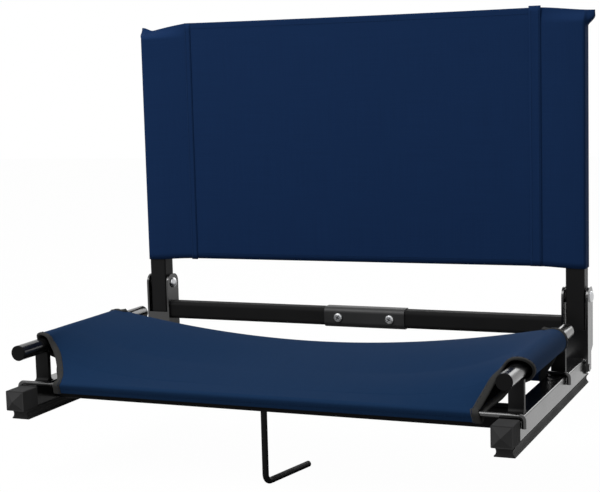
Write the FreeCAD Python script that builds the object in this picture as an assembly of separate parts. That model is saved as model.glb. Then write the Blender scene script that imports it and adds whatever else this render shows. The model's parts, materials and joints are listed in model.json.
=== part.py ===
"""Folding stadium chair that hooks onto a bench plank: steel tube base, folding back, two fabric covers.

Millimetres. X runs across the chair, Y from front to back, Z up. The finished model's origin is where the
hook's shank crosses the bench top, which is the plane of the runners' soles. Everything is drawn about the
chair's middle first, and moved across by the hook's offset when it is written. Left and right are as seen
by someone who stands in front of the chair.
"""
import math
import os

import FreeCAD
import Part

Vector = FreeCAD.Vector
SIDES = ((-1, "left"), (1, "right"))
AXIS_X = Vector(1, 0, 0)
AXIS_Y = Vector(0, 1, 0)
AXIS_Z = Vector(0, 0, 1)

# Base rails, their plastic noses and plugs, and the rubber runners below them
RAIL_SPACING = 544.0
RAIL_SIZE = 22.0
RAIL_LENGTH = 320.0
TUBE_WALL = 1.5
TUBE_CORNER = 2.0
NOSE_LENGTH = 28.0
NOSE_POINT = 5.0
NOSE_CORNER = 1.2
PLUG_LIP = 2.0
PLUG_BEVEL = 0.7
PLUG_DEPTH = 16.0
PLUG_CLEARANCE = 0.2
RUNNER_HEIGHT = 11.0
RUNNER_LENGTH = 350.0
RUNNER_WIDTH = 21.0
RUNNER_WAIST = 16.5
RUNNER_LIP = 1.3
RUNNER_SETBACK = 9.5
SCREW_SHANK = 4.0
SCREW_LENGTH = 15.0
SCREW_HEAD = 7.6
SCREW_HEAD_HEIGHT = 2.4
SCREW_RECESS = 5.0
SCREW_END_MARGIN = 45.0
SCREWS_PER_RUNNER = 3

# Distances behind the front plane of the noses
CROSSBAR_SETBACK = 84.0
FRONT_POST_SETBACK = 59.0
REAR_POST_SETBACK = 247.5
FRONT_ROD_SETBACK = 32.0
REAR_ROD_SETBACK = 236.0
SEAT_TUBE_SETBACK = 12.0
PIVOT_SETBACK = 346.5

# Seat frame: posts on the rails, round seat tubes on the posts, bent rods for the cover's hems
CROSSBAR_SIZE = 22.0
POST_WIDTH = 16.0
POST_THICKNESS = 6.0
POST_OVERLAP = 1.5
WELD_SIZE = 4.0
WELD_TOE = 0.6
SEAT_TUBE_DIAMETER = 17.0
SEAT_TUBE_LENGTH = 276.0
SEAT_TUBE_HEIGHT = 73.0
HEM_ROD_DIAMETER = 5.0
HEM_ROD_DROP = 12.0
ROD_SEAT_GAP = 0.1

# Hinge brackets, their rivets and spacers
BRACKET_PLATE = 2.5
SPACER_THICKNESS = 2.0
SPACER_DIAMETER = 15.0
BRACKET_DEPTH = 28.5
BRACKET_FOOT_DEPTH = 18.5
BRACKET_FOOT_DROP = 15.0
BRACKET_STEP_HEIGHT = 12.0
BRACKET_STEP_RISE = 6.0
BRACKET_WEB_TOP = 67.0
BRACKET_ABOVE_PIVOT = 11.5
BRACKET_TOP_RADIUS = 11.0
WEB_SEAT_GAP = 0.1
STOP_GAP = 0.3
BRACKET_RIVET_SETBACK = 6.0
PLUG_RIVET_GAP = 1.5
PIVOT_HEIGHT = 104.0
RIVET_DIAMETER = 6.0
RIVET_HEAD = 11.0
RIVET_DOME = 3.0
RIVET_FOOT = 9.0
RIVET_FOOT_HEIGHT = 0.9
BOLT_CLEARANCE = 0.05
RUNNING_GAP = 0.05

# Folding back
UPRIGHT_SIZE = 22.0
UPRIGHT_TAIL = 52.0
UPRIGHT_TOP = 416.0

# Rear crossbar in two halves, joined by a splice channel
REAR_BAR_SIZE = 22.0
REAR_BAR_CORNER = 5.0
REAR_BAR_HEIGHT = 69.2
SPLICE_OFFSET = 12.0
SPLICE_LENGTH = 104.0
SPLICE_BOLT_SPACING = 67.0
SPLICE_PLATE = 1.5
SPLICE_LIP_DEPTH = 16.0
SPLICE_GAP = 1.0
BOLT_DIAMETER = 6.0
BOLT_TAIL = 1.5
HEX_FLATS = 10.0
NUT_HEIGHT = 5.0
PAN_HEAD = 10.5
PAN_HEIGHT = 3.2
PAN_BEVEL = 1.4

# Bench hook, which swivels in the front crossbar
HOOK_OFFSET = -12.0
HOOK_DIAMETER = 7.0
HOOK_BEND = 9.0
HOOK_REACH = 84.0
HOOK_BOTTOM = -69.5
HOOK_SWING = 11.0
HOOK_ABOVE_BAR = 5.5
BUSH_WALL = 1.5
BUSH_FLANGE = 15.0
BUSH_FLANGE_HEIGHT = 1.2
WASHER_DIAMETER = 14.0
WASHER_HEIGHT = 1.0
CLIP_DIAMETER = 12.0
CLIP_HEIGHT = 1.0
CLIP_GROOVE = 0.5
CLIP_MOUTH = 4.6
STACK_GAP = 0.1

# Fabric covers
FABRIC = 1.5
FABRIC_GAP = 0.3
BACK_COVER_BOTTOM = 138.0
BACK_COVER_TOP = 436.0
BACK_SEAM = 221.0
EAR_OUT = 6.0
EAR_DROP = 3.0
EAR_HEIGHT = 12.0
SEAT_SLACK = 2.4
SEAT_MIDDLE_REAR = 59.0
SEAT_FRONT_SLOPE = 23.2
SEAT_REAR_SLOPE = 6.0
SEAT_LAYERS = 5.0
HEM_SAG = 0.5
FRONT_NOTCH = 28.7
FRONT_NOTCH_RADIUS = 19.7
SEAT_STATIONS = 5

# Worked out from the sizes above
FRONT = -CROSSBAR_SETBACK
RAIL_X = RAIL_SPACING / 2
RAIL_BOTTOM = RUNNER_HEIGHT
RAIL_TOP = RAIL_BOTTOM + RAIL_SIZE
RAIL_MIDDLE = RAIL_BOTTOM + RAIL_SIZE / 2
RAIL_INNER = RAIL_X - RAIL_SIZE / 2
RAIL_OUTER = RAIL_X + RAIL_SIZE / 2
RAIL_FRONT = FRONT + NOSE_LENGTH
RAIL_REAR = RAIL_FRONT + RAIL_LENGTH
RUNNER_FRONT = FRONT + RUNNER_SETBACK
SEAT_TUBE_RADIUS = SEAT_TUBE_DIAMETER / 2
SEAT_TUBE_FRONT = FRONT + SEAT_TUBE_SETBACK
SEAT_TUBE_REAR = SEAT_TUBE_FRONT + SEAT_TUBE_LENGTH
HEM_ROD_RADIUS = HEM_ROD_DIAMETER / 2
HEM_ROD_Z = RAIL_TOP + HEM_ROD_RADIUS + ROD_SEAT_GAP
HEM_ROD_BEND = TUBE_CORNER + HEM_ROD_RADIUS + 2 * ROD_SEAT_GAP
FRONT_ROD_Y = FRONT + FRONT_ROD_SETBACK
REAR_ROD_Y = FRONT + REAR_ROD_SETBACK
SEAT_FULL_FRONT = FRONT_ROD_Y + SEAT_FRONT_SLOPE
SEAT_FULL_REAR = REAR_ROD_Y - SEAT_REAR_SLOPE
RIVET_RADIUS = RIVET_DIAMETER / 2
RIVET_HOLE = RIVET_RADIUS + BOLT_CLEARANCE
BOLT_RADIUS = BOLT_DIAMETER / 2
BOLT_HOLE = BOLT_RADIUS + BOLT_CLEARANCE
PIVOT_Y = FRONT + PIVOT_SETBACK
UPRIGHT_FRONT = PIVOT_Y - UPRIGHT_SIZE / 2
WEB_REAR = UPRIGHT_FRONT - STOP_GAP
BRACKET_FRONT = WEB_REAR - BRACKET_PLATE
BRACKET_INNER = UPRIGHT_SIZE / 2 + SPACER_THICKNESS
BRACKET_OUTER = BRACKET_INNER + BRACKET_PLATE
BRACKET_RIVET_Y = RAIL_REAR - BRACKET_RIVET_SETBACK - RIVET_RADIUS
RAIL_PLUG_DEPTH = BRACKET_RIVET_SETBACK - PLUG_RIVET_GAP
REAR_BAR_FRONT = BRACKET_FRONT + (BRACKET_DEPTH - REAR_BAR_SIZE) / 2
HOOK_RADIUS = HOOK_DIAMETER / 2
CROSSBAR_TOP = RAIL_TOP
CROSSBAR_BOTTOM = CROSSBAR_TOP - CROSSBAR_SIZE


def box(x_range, y_range, z_range):
    """Box between two values on each axis."""
    low = Vector(min(x_range), min(y_range), min(z_range))
    size = [abs(b - a) for a, b in (x_range, y_range, z_range)]
    return Part.makeBox(size[0], size[1], size[2], low)


def rod(start, end, radius):
    """Round bar from one point to another."""
    along = end - start
    return Part.makeCylinder(radius, along.Length, start, along)


def ring(start, end, outer, inner):
    """Round tube or washer from one point to another."""
    return rod(start, end, outer).cut(rod(start, end, inner))


def face_of(points):
    """Flat face inside straight edges."""
    return Part.Face(Part.makePolygon(points + points[:1]))


def square_bar(size, start, end, corner=None):
    """Square bar from one point to another, along X, Y or Z, its long edges rounded if a corner is given."""
    along = end - start
    half = size / 2
    section = [Vector(half * a, half * b, 0) for a, b in ((-1, -1), (1, -1), (1, 1), (-1, 1))]
    bar = face_of(section).extrude(AXIS_Z * along.Length)
    if corner:
        long_edges = [edge for edge in bar.Edges if abs(edge.tangentAt(edge.FirstParameter).z) > 0.5]
        bar = bar.makeFillet(corner, long_edges)
    bar.Placement = FreeCAD.Placement(start, FreeCAD.Rotation(AXIS_Z, along))
    return bar


def square_tube(size, start, end, corner=TUBE_CORNER, inside_corner=None):
    """Square steel tube with the frame's wall."""
    inside = square_bar(size - 2 * TUBE_WALL, start, end, inside_corner)
    return square_bar(size, start, end, corner).cut(inside)


def hex_prism(centre, axis, height):
    """Hexagonal prism, point up, from its seat along an axis."""
    corner = HEX_FLATS / math.sqrt(3)
    turns = [math.radians(60 * i) for i in range(6)]
    section = face_of([Vector(corner * math.cos(turn), corner * math.sin(turn), 0) for turn in turns])
    prism = section.extrude(AXIS_Z * height)
    prism.Placement = FreeCAD.Placement(centre, FreeCAD.Rotation(AXIS_Z, axis))
    return prism


def bolt_shank(head_seat, axis, grip):
    """Shank from under a bolt's head through what it grips and its nut."""
    return rod(head_seat, head_seat + axis * (grip + NUT_HEIGHT + BOLT_TAIL), BOLT_RADIUS)


def pan_bolt(head_seat, axis, grip):
    """Round-headed bolt with a bevelled rim."""
    top = PAN_HEAD / 2 - PAN_BEVEL
    rim_height = PAN_HEIGHT - PAN_BEVEL
    rim = head_seat - axis * rim_height
    bevel = Part.makeCone(PAN_HEAD / 2, top, PAN_BEVEL, rim, axis * -1)
    head = rod(head_seat, rim, PAN_HEAD / 2).fuse(bevel)
    return head.fuse(bolt_shank(head_seat, axis, grip)).removeSplitter()


def nut(seat, axis):
    """Hex nut on its seat."""
    return hex_prism(seat, axis, NUT_HEIGHT).cut(rod(seat, seat + axis * NUT_HEIGHT, BOLT_HOLE))


def dome(seat, axis, radius, height):
    """Cap of a ball on its flat seat."""
    ball = (radius ** 2 + height ** 2) / (2 * height)
    whole = Part.makeSphere(ball, seat - axis * (ball - height))
    return whole.common(rod(seat, seat + axis * 2 * height, 2 * radius))


def rivet(head_seat, axis, grip, domed):
    """Rivet with a domed or low head on its seat, and a flattened end behind what it grips."""
    behind = head_seat + axis * grip
    if domed:
        head = dome(head_seat, axis * -1, RIVET_HEAD / 2, RIVET_DOME)
    else:
        head = rod(head_seat, head_seat - axis * RIVET_FOOT_HEIGHT, RIVET_FOOT / 2)
    foot = rod(behind, behind + axis * RIVET_FOOT_HEIGHT, RIVET_FOOT / 2)
    return head.fuse([rod(head_seat, behind, RIVET_RADIUS), foot]).removeSplitter()


def square_plug(mouth, axis, size, depth):
    """Plastic plug for a square tube: a lip on the mouth and a spigot inside, where axis points out."""
    spigot = size - 2 * TUBE_WALL - 2 * PLUG_CLEARANCE
    head = square_bar(size, mouth, mouth + axis * PLUG_LIP, TUBE_CORNER)
    return head.fuse(square_bar(spigot, mouth - axis * depth, mouth)).removeSplitter()


def screw_places(side):
    """Points on a runner's sole where its screws go up into the rail."""
    first = RUNNER_FRONT + SCREW_END_MARGIN
    step = (RUNNER_LENGTH - 2 * SCREW_END_MARGIN) / (SCREWS_PER_RUNNER - 1)
    return [Vector(side * RAIL_X, first + step * i, 0) for i in range(SCREWS_PER_RUNNER)]


def rail(side):
    """Base rail with its screw holes below and the bracket's rivet hole across it."""
    x = side * RAIL_X
    tube = square_tube(RAIL_SIZE, Vector(x, RAIL_FRONT, RAIL_MIDDLE), Vector(x, RAIL_REAR, RAIL_MIDDLE))
    for place in screw_places(side):
        tube = tube.cut(rod(place, place + AXIS_Z * RAIL_MIDDLE, SCREW_SHANK / 2 + BOLT_CLEARANCE))
    across = Vector(x - RAIL_SIZE, BRACKET_RIVET_Y, RAIL_MIDDLE)
    return tube.cut(rod(across, across + AXIS_X * 2 * RAIL_SIZE, RIVET_HOLE))


def rail_nose(side):
    """Plastic nose: a square block with a pyramid front and a spigot in the rail's mouth."""
    x = side * RAIL_X
    base = Vector(x, FRONT, RAIL_MIDDLE)
    mouth = Vector(x, RAIL_FRONT, RAIL_MIDDLE)
    block = square_bar(RAIL_SIZE, base, mouth, NOSE_CORNER)
    half = RAIL_SIZE / 2 - NOSE_CORNER
    corners = [base + Vector(half * a, 0, half * b) for a, b in ((-1, -1), (1, -1), (1, 1), (-1, 1))]
    tip = base - AXIS_Y * NOSE_POINT
    sides = [face_of([corners[i], corners[(i + 1) % 4], tip]) for i in range(4)]
    pyramid = Part.Solid(Part.Shell(sides + [face_of(corners)]))
    spigot = RAIL_SIZE - 2 * TUBE_WALL - 2 * PLUG_CLEARANCE
    inside = square_bar(spigot, mouth, mouth + AXIS_Y * PLUG_DEPTH)
    return block.fuse([pyramid, inside]).removeSplitter()


def runner(side):
    """Rubber runner under a rail: hollow-sided strip with recesses for its screws."""
    x = side * RAIL_X
    half = RUNNER_WIDTH / 2
    waist = RUNNER_WAIST / 2
    low = RUNNER_LIP
    high = RUNNER_HEIGHT - RUNNER_LIP
    middle = RUNNER_HEIGHT / 2

    def at(across, height):
        return Vector(x + across, RUNNER_FRONT, height)

    outline = [
        Part.LineSegment(at(-half, 0), at(half, 0)),
        Part.LineSegment(at(half, 0), at(half, low)),
        Part.Arc(at(half, low), at(waist, middle), at(half, high)),
        Part.LineSegment(at(half, high), at(half, RUNNER_HEIGHT)),
        Part.LineSegment(at(half, RUNNER_HEIGHT), at(-half, RUNNER_HEIGHT)),
        Part.LineSegment(at(-half, RUNNER_HEIGHT), at(-half, high)),
        Part.Arc(at(-half, high), at(-waist, middle), at(-half, low)),
        Part.LineSegment(at(-half, low), at(-half, 0)),
    ]
    strip = Part.Face(Part.Wire([piece.toShape() for piece in outline])).extrude(AXIS_Y * RUNNER_LENGTH)
    for place in screw_places(side):
        strip = strip.cut(rod(place, place + AXIS_Z * SCREW_RECESS, SCREW_HEAD / 2 + PLUG_CLEARANCE))
        strip = strip.cut(rod(place, place + AXIS_Z * RUNNER_HEIGHT, SCREW_SHANK / 2 + BOLT_CLEARANCE))
    return strip


def runner_screws():
    """Pan-head screws that hold the runners, recessed in the soles."""
    screws = []
    for side, _ in SIDES:
        for place in screw_places(side):
            seat = place + AXIS_Z * SCREW_RECESS
            head = rod(seat - AXIS_Z * SCREW_HEAD_HEIGHT, seat, SCREW_HEAD / 2)
            shank = rod(seat, seat + AXIS_Z * SCREW_LENGTH, SCREW_SHANK / 2)
            screws.append(head.fuse(shank).removeSplitter())
    return Part.makeCompound(screws)


def front_crossbar():
    """Square tube between the rails, bored upright for the hook's two bushes."""
    middle = (CROSSBAR_TOP + CROSSBAR_BOTTOM) / 2
    tube = square_tube(CROSSBAR_SIZE, Vector(-RAIL_INNER, 0, middle), Vector(RAIL_INNER, 0, middle))
    hole = HOOK_RADIUS + RUNNING_GAP + BUSH_WALL
    return tube.cut(rod(Vector(HOOK_OFFSET, 0, 0), Vector(HOOK_OFFSET, 0, 2 * CROSSBAR_TOP), hole))


def seat_post(side, setback):
    """Flat post with weld fillets on the rail, its top notched to the seat tube."""
    x = side * RAIL_X
    y = FRONT + setback
    half = POST_THICKNESS / 2
    foot = half + WELD_SIZE
    toe = RAIL_TOP + WELD_TOE
    knee = toe + WELD_SIZE
    top = SEAT_TUBE_HEIGHT - SEAT_TUBE_RADIUS + POST_OVERLAP
    bow = WELD_SIZE * (1 - math.sqrt(0.5))

    def at(along, height):
        return Vector(x - POST_WIDTH / 2, y + along, height)

    outline = [
        Part.LineSegment(at(-foot, RAIL_TOP), at(foot, RAIL_TOP)),
        Part.LineSegment(at(foot, RAIL_TOP), at(foot, toe)),
        Part.Arc(at(foot, toe), at(half + bow, toe + bow), at(half, knee)),
        Part.LineSegment(at(half, knee), at(half, top)),
        Part.LineSegment(at(half, top), at(-half, top)),
        Part.LineSegment(at(-half, top), at(-half, knee)),
        Part.Arc(at(-half, knee), at(-half - bow, toe + bow), at(-foot, toe)),
        Part.LineSegment(at(-foot, toe), at(-foot, RAIL_TOP)),
    ]
    post = Part.Face(Part.Wire([piece.toShape() for piece in outline])).extrude(AXIS_X * POST_WIDTH)
    along_tube = Vector(x, y - POST_WIDTH, SEAT_TUBE_HEIGHT)
    return post.cut(rod(along_tube, along_tube + AXIS_Y * 2 * POST_WIDTH, SEAT_TUBE_RADIUS))


def seat_tube(side):
    """Round tube that carries one side of the seat cover."""
    x = side * RAIL_X
    start = Vector(x, SEAT_TUBE_FRONT, SEAT_TUBE_HEIGHT)
    end = Vector(x, SEAT_TUBE_REAR, SEAT_TUBE_HEIGHT)
    return ring(start, end, SEAT_TUBE_RADIUS, SEAT_TUBE_RADIUS - TUBE_WALL)


def seat_tube_plugs():
    """Round plastic plugs in both ends of both seat tubes."""
    plugs = []
    spigot = SEAT_TUBE_RADIUS - TUBE_WALL - PLUG_CLEARANCE
    for side, _ in SIDES:
        for y, out in ((SEAT_TUBE_FRONT, -1), (SEAT_TUBE_REAR, 1)):
            mouth = Vector(side * RAIL_X, y, SEAT_TUBE_HEIGHT)
            head = rod(mouth, mouth + AXIS_Y * out * PLUG_LIP, SEAT_TUBE_RADIUS)
            rim = max(head.Edges, key=lambda edge: edge.CenterOfMass.y * out)
            head = head.makeChamfer(PLUG_BEVEL, [rim])
            inside = rod(mouth, mouth - AXIS_Y * out * PLUG_DEPTH, spigot)
            plugs.append(head.fuse(inside).removeSplitter())
    return Part.makeCompound(plugs)


def swept_rod(corners, bend, radius):
    """Round rod along straight runs joined by bends of one radius."""
    edges = []
    start = corners[0]
    for before, corner, after in zip(corners, corners[1:], corners[2:]):
        into = (corner - before).normalize()
        away = (after - corner).normalize()
        setback = bend * math.tan(into.getAngle(away) / 2)
        first = corner - into * setback
        last = corner + away * setback
        inward = (away - into).normalize()
        apex = corner + inward * (math.hypot(bend, setback) - bend)
        edges.append(Part.makeLine(start, first))
        edges.append(Part.Arc(first, apex, last).toShape())
        start = last
    edges.append(Part.makeLine(start, corners[-1]))
    path = Part.Wire(edges)
    section = Part.Wire(Part.makeCircle(radius, corners[0], corners[1] - corners[0]))
    return path.makePipeShell([section], True, False)


def hem_rod(y):
    """Rod across both rails, with its ends bent down outside them."""
    x = RAIL_OUTER + HEM_ROD_RADIUS + ROD_SEAT_GAP
    low = HEM_ROD_Z - HEM_ROD_DROP
    corners = [Vector(-x, y, low), Vector(-x, y, HEM_ROD_Z), Vector(x, y, HEM_ROD_Z), Vector(x, y, low)]
    return swept_rod(corners, HEM_ROD_BEND, HEM_ROD_RADIUS)


def bracket_outline():
    """Side outline of a bracket's plate: a narrow foot on the rail, a wider head with a rounded top."""
    front = BRACKET_FRONT
    rear = front + BRACKET_DEPTH
    foot_rear = front + BRACKET_FOOT_DEPTH
    foot = RAIL_TOP - BRACKET_FOOT_DROP
    step = RAIL_TOP + BRACKET_STEP_HEIGHT
    top = PIVOT_HEIGHT + BRACKET_ABOVE_PIVOT
    shoulder = top - BRACKET_TOP_RADIUS
    bow = BRACKET_TOP_RADIUS * (1 - math.sqrt(0.5))
    inset = BRACKET_TOP_RADIUS

    def at(y, z):
        return Vector(0, y, z)

    lines = [(front, shoulder), (front, foot), (foot_rear, foot), (foot_rear, step - BRACKET_STEP_RISE),
             (rear, step), (rear, shoulder)]
    edges = [Part.makeLine(at(*a), at(*b)) for a, b in zip(lines, lines[1:])]
    edges.append(Part.Arc(at(rear, shoulder), at(rear - bow, top - bow), at(rear - inset, top)).toShape())
    edges.append(Part.makeLine(at(rear - inset, top), at(front + inset, top)))
    edges.append(Part.Arc(at(front + inset, top), at(front + bow, top - bow), at(front, shoulder)).toShape())
    return Part.Face(Part.Wire(edges))


def hinge_bracket(side):
    """Formed channel astride the rail's rear end: two plates, and a web in front that stops the upright."""
    x = side * RAIL_X
    plates = []
    for across in (-BRACKET_OUTER, BRACKET_INNER):
        plate = bracket_outline().extrude(AXIS_X * BRACKET_PLATE)
        plate.translate(Vector(x + across, 0, 0))
        plates.append(plate)
    heights = (RAIL_TOP + WEB_SEAT_GAP, BRACKET_WEB_TOP)
    web = box((x - BRACKET_OUTER, x + BRACKET_OUTER), (BRACKET_FRONT, WEB_REAR), heights)
    channel = web.fuse(plates).removeSplitter()
    for y, z in ((PIVOT_Y, PIVOT_HEIGHT), (BRACKET_RIVET_Y, RAIL_MIDDLE)):
        across = Vector(x - 2 * BRACKET_OUTER, y, z)
        channel = channel.cut(rod(across, across + AXIS_X * 4 * BRACKET_OUTER, RIVET_HOLE))
    return channel


def bracket_rivets(y, z, domed):
    """The rivets across both brackets at one place, heads to the right."""
    seats = [Vector(side * RAIL_X + BRACKET_OUTER, y, z) for side, _ in SIDES]
    return Part.makeCompound([rivet(seat, AXIS_X * -1, 2 * BRACKET_OUTER, domed) for seat in seats])


def hinge_spacers():
    """Nylon spacers between the bracket plates and the uprights at the pivots, and the rails below."""
    spacers = []
    at_pivot = (PIVOT_Y, PIVOT_HEIGHT, UPRIGHT_SIZE / 2)
    at_rail = (BRACKET_RIVET_Y, RAIL_MIDDLE, RAIL_SIZE / 2)
    for side, _ in SIDES:
        for y, z, half in (at_pivot, at_rail):
            for out in (-1, 1):
                against = Vector(side * RAIL_X + out * BRACKET_INNER, y, z)
                near = Vector(side * RAIL_X + out * (half + RUNNING_GAP), y, z)
                spacers.append(ring(near, against, SPACER_DIAMETER / 2, RIVET_HOLE))
    return Part.makeCompound(spacers)


def rear_crossbar_half(side):
    """Half of the rear crossbar, from a bracket's inner plate to the splice."""
    y = REAR_BAR_FRONT + REAR_BAR_SIZE / 2
    end = Vector(side * (RAIL_X - BRACKET_OUTER), y, REAR_BAR_HEIGHT)
    meeting = Vector(SPLICE_OFFSET + side * SPLICE_GAP / 2, y, REAR_BAR_HEIGHT)
    tube = square_tube(REAR_BAR_SIZE, end, meeting, REAR_BAR_CORNER, REAR_BAR_CORNER - TUBE_WALL)
    through = Vector(splice_bolt_x(side), y - REAR_BAR_SIZE, REAR_BAR_HEIGHT)
    return tube.cut(rod(through, through + AXIS_Y * 2 * REAR_BAR_SIZE, BOLT_HOLE))


def splice_bolt_x(side):
    """Place of a splice bolt across the chair."""
    return SPLICE_OFFSET + side * SPLICE_BOLT_SPACING / 2


def rounded_front(block, radius):
    """Block with its two front edges rounded along X."""
    along = [edge for edge in block.Edges if abs(edge.tangentAt(0).x) > 0.5]
    return block.makeFillet(radius, sorted(along, key=lambda edge: edge.CenterOfMass.y)[:2])


def splice_channel():
    """Channel around the front, top and bottom of the rear crossbar where its halves meet."""
    half = REAR_BAR_SIZE / 2
    ends = (SPLICE_OFFSET - SPLICE_LENGTH / 2, SPLICE_OFFSET + SPLICE_LENGTH / 2)
    front = REAR_BAR_FRONT - SPLICE_PLATE
    lip_end = REAR_BAR_FRONT + SPLICE_LIP_DEPTH
    outside = half + SPLICE_PLATE
    block = box(ends, (front, lip_end), (REAR_BAR_HEIGHT - outside, REAR_BAR_HEIGHT + outside))
    inside = box(ends, (REAR_BAR_FRONT, lip_end), (REAR_BAR_HEIGHT - half, REAR_BAR_HEIGHT + half))
    channel = rounded_front(block, REAR_BAR_CORNER + SPLICE_PLATE).cut(rounded_front(inside, REAR_BAR_CORNER))
    for side, _ in SIDES:
        through = Vector(splice_bolt_x(side), front - SPLICE_PLATE, REAR_BAR_HEIGHT)
        channel = channel.cut(rod(through, through + AXIS_Y * 3 * SPLICE_PLATE, BOLT_HOLE))
    return channel


def splice_fasteners():
    """Bolts from the front through the splice and the crossbar, with nuts behind."""
    front = REAR_BAR_FRONT - SPLICE_PLATE
    behind = REAR_BAR_FRONT + REAR_BAR_SIZE
    bolts = []
    nuts = []
    for side, _ in SIDES:
        x = splice_bolt_x(side)
        bolts.append(pan_bolt(Vector(x, front, REAR_BAR_HEIGHT), AXIS_Y, behind - front))
        nuts.append(nut(Vector(x, behind, REAR_BAR_HEIGHT), AXIS_Y))
    return Part.makeCompound(bolts), Part.makeCompound(nuts)


def upright(side):
    """Square upright of the back, bored for its pivot rivet."""
    x = side * RAIL_X
    foot = Vector(x, PIVOT_Y, PIVOT_HEIGHT - UPRIGHT_TAIL)
    tube = square_tube(UPRIGHT_SIZE, foot, Vector(x, PIVOT_Y, UPRIGHT_TOP))
    across = Vector(x - UPRIGHT_SIZE, PIVOT_Y, PIVOT_HEIGHT)
    return tube.cut(rod(across, across + AXIS_X * 2 * UPRIGHT_SIZE, RIVET_HOLE))


def upright_plugs(z, axis):
    """Plugs in one end of both uprights."""
    mouths = [Vector(side * RAIL_X, PIVOT_Y, z) for side, _ in SIDES]
    return Part.makeCompound([square_plug(mouth, axis, UPRIGHT_SIZE, PLUG_DEPTH) for mouth in mouths])


def hook_stack():
    """Heights of the hook's washer and clip above the crossbar."""
    washer = CROSSBAR_TOP + BUSH_FLANGE_HEIGHT + STACK_GAP
    clip = washer + WASHER_HEIGHT + STACK_GAP
    return washer, clip


def hook():
    """Bench hook: a bent rod, upright in the crossbar, whose leg reaches back below the plank."""
    swing = math.radians(HOOK_SWING)
    tip = Vector(HOOK_OFFSET + HOOK_REACH * math.sin(swing), HOOK_REACH * math.cos(swing), HOOK_BOTTOM)
    heel = Vector(HOOK_OFFSET, 0, HOOK_BOTTOM)
    top = Vector(HOOK_OFFSET, 0, CROSSBAR_TOP + HOOK_ABOVE_BAR)
    bent = swept_rod([top, heel, tip], HOOK_BEND, HOOK_RADIUS)
    return bent.cut(hook_ring(hook_stack()[1], CLIP_HEIGHT, HOOK_DIAMETER, HOOK_RADIUS - CLIP_GROOVE))


def hook_ring(height, thickness, outer, inner):
    """Ring round the hook's shank from one height up."""
    low = Vector(HOOK_OFFSET, 0, height)
    return ring(low, low + AXIS_Z * thickness, outer, inner)


def hook_washer():
    """Flat washer on the hook, above the upper bush."""
    return hook_ring(hook_stack()[0], WASHER_HEIGHT, WASHER_DIAMETER / 2, HOOK_RADIUS + RUNNING_GAP)


def hook_clip():
    """Open retaining clip in the hook's groove, by which the hook hangs."""
    inner = HOOK_RADIUS - CLIP_GROOVE + RUNNING_GAP
    whole = hook_ring(hook_stack()[1], CLIP_HEIGHT, CLIP_DIAMETER / 2, inner)
    across = (HOOK_OFFSET - CLIP_MOUTH / 2, HOOK_OFFSET + CLIP_MOUTH / 2)
    return whole.cut(box(across, (-CLIP_DIAMETER, 0), (0, 2 * CROSSBAR_TOP)))


def hook_bushes():
    """Nylon bushes in the crossbar: a flanged one in its upper wall, a plain one in its lower wall."""
    bore = HOOK_RADIUS + RUNNING_GAP
    upper = hook_ring(CROSSBAR_TOP - TUBE_WALL, TUBE_WALL, bore + BUSH_WALL, bore)
    flange = hook_ring(CROSSBAR_TOP, BUSH_FLANGE_HEIGHT, BUSH_FLANGE / 2, bore)
    lower = hook_ring(CROSSBAR_BOTTOM, TUBE_WALL, bore + BUSH_WALL, bore)
    return Part.makeCompound([upper.fuse(flange).removeSplitter(), lower])


def back_cover():
    """Back cover: a flat panel with a closed-topped sleeve over each upright and a flat crown with ears."""
    gap = UPRIGHT_SIZE / 2 + FABRIC_GAP
    panel_rear = PIVOT_Y - gap
    panel_front = panel_rear - FABRIC
    sleeve_top = UPRIGHT_TOP + PLUG_LIP + FABRIC_GAP
    pieces = [box((-BACK_SEAM, BACK_SEAM), (panel_front, panel_rear), (BACK_COVER_BOTTOM, BACK_COVER_TOP))]
    for side, _ in SIDES:
        outer = side * (RAIL_X + gap)
        inner = side * (RAIL_X - gap)
        rear = PIVOT_Y + gap
        loop = ((side * BACK_SEAM, panel_rear), (outer, panel_rear), (outer, rear), (inner, rear))
        hollow = face_of([Vector(x, y, BACK_COVER_BOTTOM) for x, y in loop])
        skin = Part.Face(hollow.OuterWire.makeOffset2D(FABRIC))
        outside = skin.extrude(AXIS_Z * (sleeve_top + FABRIC - BACK_COVER_BOTTOM))
        pieces.append(outside.cut(hollow.extrude(AXIS_Z * (sleeve_top - BACK_COVER_BOTTOM))))
        seam = side * (BACK_SEAM - FABRIC)
        skin_edge = outer + side * FABRIC
        ear = skin_edge + side * EAR_OUT
        ear_top = BACK_COVER_TOP - EAR_DROP
        crown = ((seam, sleeve_top), (skin_edge, sleeve_top), (ear, ear_top - EAR_HEIGHT), (ear, ear_top),
                 (side * BACK_SEAM, BACK_COVER_TOP), (seam, BACK_COVER_TOP))
        pieces.append(face_of([Vector(x, panel_front, z) for x, z in crown]).extrude(AXIS_Y * FABRIC))
    return pieces[0].fuse(pieces[1:]).removeSplitter()


def seat_station(y):
    """Height and radius of the edge roll, height of the middle and share of full height, at one depth."""
    hem_radius = HEM_ROD_RADIUS + FABRIC_GAP + FABRIC
    tube_radius = SEAT_TUBE_RADIUS + SEAT_SLACK + FABRIC
    from_rear = (REAR_ROD_Y - y) / SEAT_REAR_SLOPE
    share = min((y - FRONT_ROD_Y) / (SEAT_FULL_FRONT - FRONT_ROD_Y), from_rear, 1.0)
    height = HEM_ROD_Z + share * (SEAT_TUBE_HEIGHT - HEM_ROD_Z)
    radius = hem_radius + share * (tube_radius - hem_radius)
    hem_top = HEM_ROD_Z + hem_radius - HEM_SAG
    ahead = min((y - FRONT_ROD_Y) / (SEAT_FULL_REAR - FRONT_ROD_Y), from_rear)
    middle = hem_top + ahead * (SEAT_MIDDLE_REAR - hem_top)
    return height, radius, middle, share


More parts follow.
